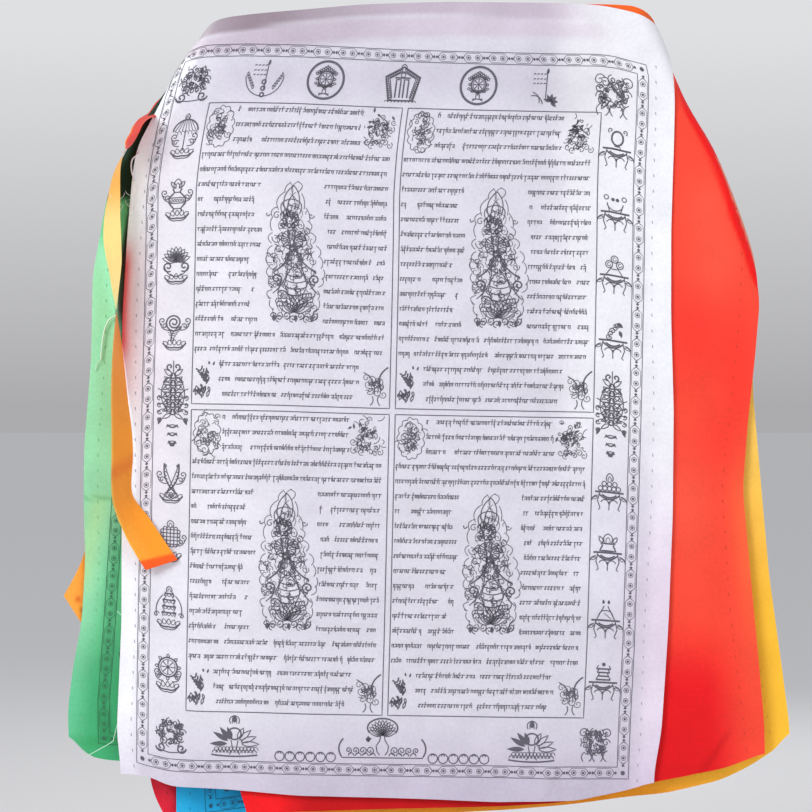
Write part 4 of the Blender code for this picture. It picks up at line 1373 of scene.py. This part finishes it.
def layInk(piece, dye, marks, place, ink, backward=False, keep=None, behind=False):
    # place: the frame's lines, or none if the marks lie on the flag's own flat; keep: which marks are laid
    points, faces = [], []
    for line, width in marks["lines"]:
        if keep is None or keep(line.mean(axis=0)):
            upper, lower = ribbon(line, width)
            start, count = len(points), len(upper)
            points += upper.tolist() + lower.tolist()
            faces += [(start + step, start + step + 1, start + count + step + 1, start + count + step)
                      for step in range(count - 1)]
    for ring in marks["fills"]:
        if keep is None or keep(ring.mean(axis=0)):
            faces.append(tuple(range(len(points), len(points) + len(ring))))
            points += ring.tolist()
    flat = np.array(points)
    x = layout["width"] - flat[:, 0] if backward else flat[:, 0]
    a, b = onLayout(place, x, flat[:, 1]) if place else (x, flat[:, 1])
    lift = layout["lift"] * (-1 if backward else -3 if behind else 1)
    buildPiece(piece, onFlag("flag_" + dye, a, b, lift), faces, ink, smooth=False)
    print(piece, "triangles", sum(len(face) - 2 for face in faces))


blackInk = plainPaint("blackInk", dyes["ink"])
wholePrint = drawWholePrint()
layInk("whitePrint", "white", wholePrint, whiteFrame, blackInk)
layInk("crimsonPrint", "crimson", wholePrint, crimsonFrame, blackInk, backward=True)


def leftAndFoot(at):
    # all of the green and the blue flag's print that shows
    return (at[0] < 54 and at[1] > 310) or at[1] > 737


for dye, lines, color in (("green", greenFrame, dyes["greenInk"]), ("blue", blueFrame, dyes["blueInk"])):
    layInk(dye + "Print", dye, wholePrint, lines, plainPaint("inkOn" + dye.capitalize(), color),
        keep=leftAndFoot)
print("print laid")


# sewing: side hems turned behind each flag, running stitches, loose threads

sewing = {
    "leftHem": [(-60, 17), (-900, 17)],                          # height and width
    "rightHem": [(-60, 23), (-450, 24), (-700, 29), (-800, 26), (-870, 21)],
    "hemTop": -58.0, "hemRows": 150, "hemBack": 0.35,
    "stitchFrom": -72.0, "greenStitchFrom": -265.0, "stitchInside": 1.6, "stitchPitch": 17.5, "stitch": 3.4,
    "stitchWidth": 0.9, "footClear": 8.0, "footReach": 20.0, "threadSides": 5, "threadEnd": 0.35,
}


def addHems(dye):
    node, shadeOf = "flag_" + dye, looks[dye][1]
    points, faces, flat, shades = [], [], [], []
    low = min(b for a, b in feet[node])
    for column, hem in ((1, "leftHem"), (2, "rightHem")):
        b = np.linspace(sewing["hemTop"], low, sewing["hemRows"])
        edge = sideAt(node, column, b)
        b = np.maximum(b, footAt(node, edge))
        width = along(sewing[hem], 1, b) * (1 if column == 1 else -1)
        a = np.stack([edge + width * step / 3 for step in range(4)], axis=1)
        rows = np.repeat(b[:, None], 4, axis=1)
        start = len(points)
        points += onFlag(node, a, rows, -sewing["hemBack"]).reshape(-1, 3).tolist()
        flat += (np.stack([a, rows], axis=-1).reshape(-1, 2) * mm).tolist()
        # the hems take the flag's painted light and shade as well
        shades += shadeOf(a, rows).reshape(-1, 3).tolist()
        faces += [tuple(start + corner for corner in face) for face in gridFaces(*a.shape)]
    buildPiece(dye + "Hems", points, faces, cotton[dye], flat, shades)


def sewStitches(dye, ink):
    node, marks, inside = "flag_" + dye, newMarks(), sewing["stitchInside"]
    top = sewing["greenStitchFrom"] if dye == "green" else sewing["stitchFrom"]
    for column, hem in ((1, "leftHem"), (2, "rightHem")):
        way = 1 if column == 1 else -1
        for b in np.arange(top, min(b for a, b in feet[node]), -sewing["stitchPitch"]):
            inward = along(sides[node], column, b) + way * sewing["footReach"]
            if b - sewing["footClear"] < footAt(node, inward):
                break
            a, ahead = (float(sideAt(node, column, at) + way * (along(sewing[hem], 1, at) - inside))
                        for at in (b, b - sewing["stitch"]))
            draw(marks, [(a, b), (ahead + 0.5, b - sewing["stitch"])], sewing["stitchWidth"])
    layInk(dye + "Stitches", dye, marks, None, ink)
    layInk(dye + "StitchesBehind", dye, marks, None, ink, behind=True)


def spinThreads(piece, material, paths):
    # each path: half thickness in mm and points a, b, n
    points, faces = [], []
    sidesRound = sewing["threadSides"]
    for thick, rows in paths:
        line = np.array(smoothRows(rows, 6))
        centres = hang(line[:, 0], line[:, 1], line[:, 2])
        run = unit(np.gradient(centres, axis=0))
        aside = unit(np.cross(run, np.array([0.0, 1.0, 0.02])))
        over = np.cross(run, aside)
        start = len(points)
        for index, centre in enumerate(centres):
            size = thick * mm * (sewing["threadEnd"] if index in (0, len(centres) - 1) else 1.0)
            for corner in range(sidesRound):
                angle = 2 * math.pi * corner / sidesRound
                outward = math.cos(angle) * aside[index] + math.sin(angle) * over[index]
                points.append(centre + size * outward)
        for index in range(len(centres) - 1):
            for corner in range(sidesRound):
                first, following = start + index * sidesRound, (corner + 1) % sidesRound
                beyond = first + sidesRound
                faces.append((first + corner, first + following, beyond + following, beyond + corner))
    buildPiece(piece, points, faces, material)


stitchInks = {"white": (0.36, 0.32, 0.40), "red": (0.66, 0.03, 0.02), "green": (0.16, 0.48, 0.24),
              "yellow": (0.75, 0.36, 0.04), "blue": (0.01, 0.22, 0.45), "crimson": (0.40, 0.006, 0.02)}
for dye in stitchInks:
    addHems(dye)
for dye, color in stitchInks.items():
    sewStitches(dye, plainPaint(dye + "Stitching", color))
paleThread = plainPaint("paleThread", dyes["paleThread"])
whiteThread = plainPaint("whiteThread", dyes["thread"])
spinThreads("edgeLoop", whiteThread, [
    (0.9, [(-298, -170, -1), (-303, -174, -2), (-307, -178, -3), (-308.4, -186, -3), (-307, -195, -3),
    (-304, -203, -1)])])
fray = []
rng = np.random.default_rng(9)
for step in range(11):
    a, b = (-322.5, -222.0 - step * 2.4) if step % 2 else (-308.5, -219.0 - step * 2.2)
    way = rng.choice([-1, 1])
    reach, tilt = rng.uniform(4, 9), rng.uniform(-7, 9)
    fray.append((0.26, [(a - way * 2, b - 1, -8), (a + way * reach * 0.4, b + tilt * 0.3, -9.5),
                        (a + way * reach * 0.8, b + tilt, -10), (a + way * reach, b + tilt * 1.9, -9)]))
spinThreads("frayedEnds", whiteThread, fray)
spinThreads("looseThread", paleThread, [
    (1.0, [(-326, -353, 1), (-334, -358, 2), (-339, -368, 2), (-342, -384, 2), (-344, -404, 3)]),
    (0.5, [(-345, -404, 3), (-348, -408, 3), (-350, -415, 4)]),
    (0.42, [(-324, -812, 3), (-328.5, -830, 2), (-330.5, -834.5, 2), (-345, -843, 2), (-362, -852.5, 3)]),
    (0.35, [(-325, -687, 2), (-321, -691, 1), (-318, -694, 1)])])
print("sewing done")


# the studio

studio = {
    "floorLevel": -1.18, "floorReach": 60.0, "floorColor": (0.90, 0.90, 0.91), "floorRoughness": 0.9,
    "domeColor": (0.93, 0.94, 0.97), "domeStrength": 0.52,
    "horizonColor": (0.41, 0.41, 0.42), "skyColor": (0.74, 0.745, 0.76), "skyRise": 0.16,
    "cameraDistance": 2.6, "viewWidth": 0.9176, "viewCentre": (0.0011, -0.4557),
    "keyPower": 50.0, "fillPower": 14.0, "backPower": 14.0,
}


def makeFloor():
    reach, level = studio["floorReach"], studio["floorLevel"]
    mesh = bpy.data.meshes.new("studioFloor")
    mesh.from_pydata([(-reach, -reach, level), (reach, -reach, level), (reach, reach, level),
        (-reach, reach, level)], [], [(0, 1, 2, 3)])
    mesh.materials.append(plainPaint("floorPaint", studio["floorColor"], studio["floorRoughness"]))
    floor = bpy.data.objects.new("studioFloor", mesh)
    bpy.context.scene.collection.objects.link(floor)


def makeLamp(name, at, aim, size, power):
    data = bpy.data.lights.new(name, "AREA")
    data.shape, data.size, data.energy = "DISK", size, power
    lamp = bpy.data.objects.new(name, data)
    lamp.location = at
    x, y, z = (there - here for here, there in zip(at, aim))
    lamp.rotation_euler = (math.atan2(math.hypot(x, y), -z), 0.0, math.atan2(y, x) - math.pi / 2)
    bpy.context.scene.collection.objects.link(lamp)


makeFloor()
middle = (0.0, 0.0, -0.45)
for name, at, size in (("key", (-1.7, -2.0, 0.9), 1.3), ("fill", (1.9, -2.0, 0.0), 1.8),
        ("back", (0.8, 2.4, 0.8), 1.8)):
    makeLamp(name + "Lamp", at, middle, size, studio[name + "Power"])
world = bpy.data.worlds.new("paleStudio")
world.use_nodes = True
tree = world.node_tree
dome = tree.nodes["Background"]
plug(tree, dome, {"Color": (*studio["domeColor"], 1.0), "Strength": studio["domeStrength"]})
# what is seen behind the bundle, paler upward
direction = addNode(tree, "TexCoord", {}, {}, "Generated")
upward = addNode(tree, "SeparateXYZ", {}, {"Vector": direction}, "Z")
rise = addNode(tree, "MapRange", {}, {"From Max": studio["skyRise"], "Value": upward}, "Result")
blend = addNode(tree, "Mix", {"data_type": "RGBA"}, {"Factor": rise, "A": (*studio["horizonColor"], 1.0),
                                                   "B": (*studio["skyColor"], 1.0)}, "Result")
sky = addNode(tree, "Background", {}, {"Color": blend}, "Background")
seen = addNode(tree, "LightPath", {}, {}, "Is Camera Ray")
choose = addNode(tree, "MixShader", {}, {"Fac": seen, 1: dome.outputs["Background"], 2: sky}, "Shader")
plug(tree, tree.nodes["World Output"], {"Surface": choose})
bpy.context.scene.world = world

cameraData = bpy.data.cameras.new("photoCamera")
cameraData.sensor_width = 36.0
cameraData.lens = cameraData.sensor_width * studio["cameraDistance"] / studio["viewWidth"]
camera = bpy.data.objects.new("photoCamera", cameraData)
camera.location = (studio["viewCentre"][0], -studio["cameraDistance"], studio["viewCentre"][1])
camera.rotation_euler = (math.pi / 2, 0.0, 0.0)
bpy.context.scene.collection.objects.link(camera)
bpy.context.scene.camera = camera
bpy.context.scene.view_settings.view_transform = "Standard"
print("studio ready")
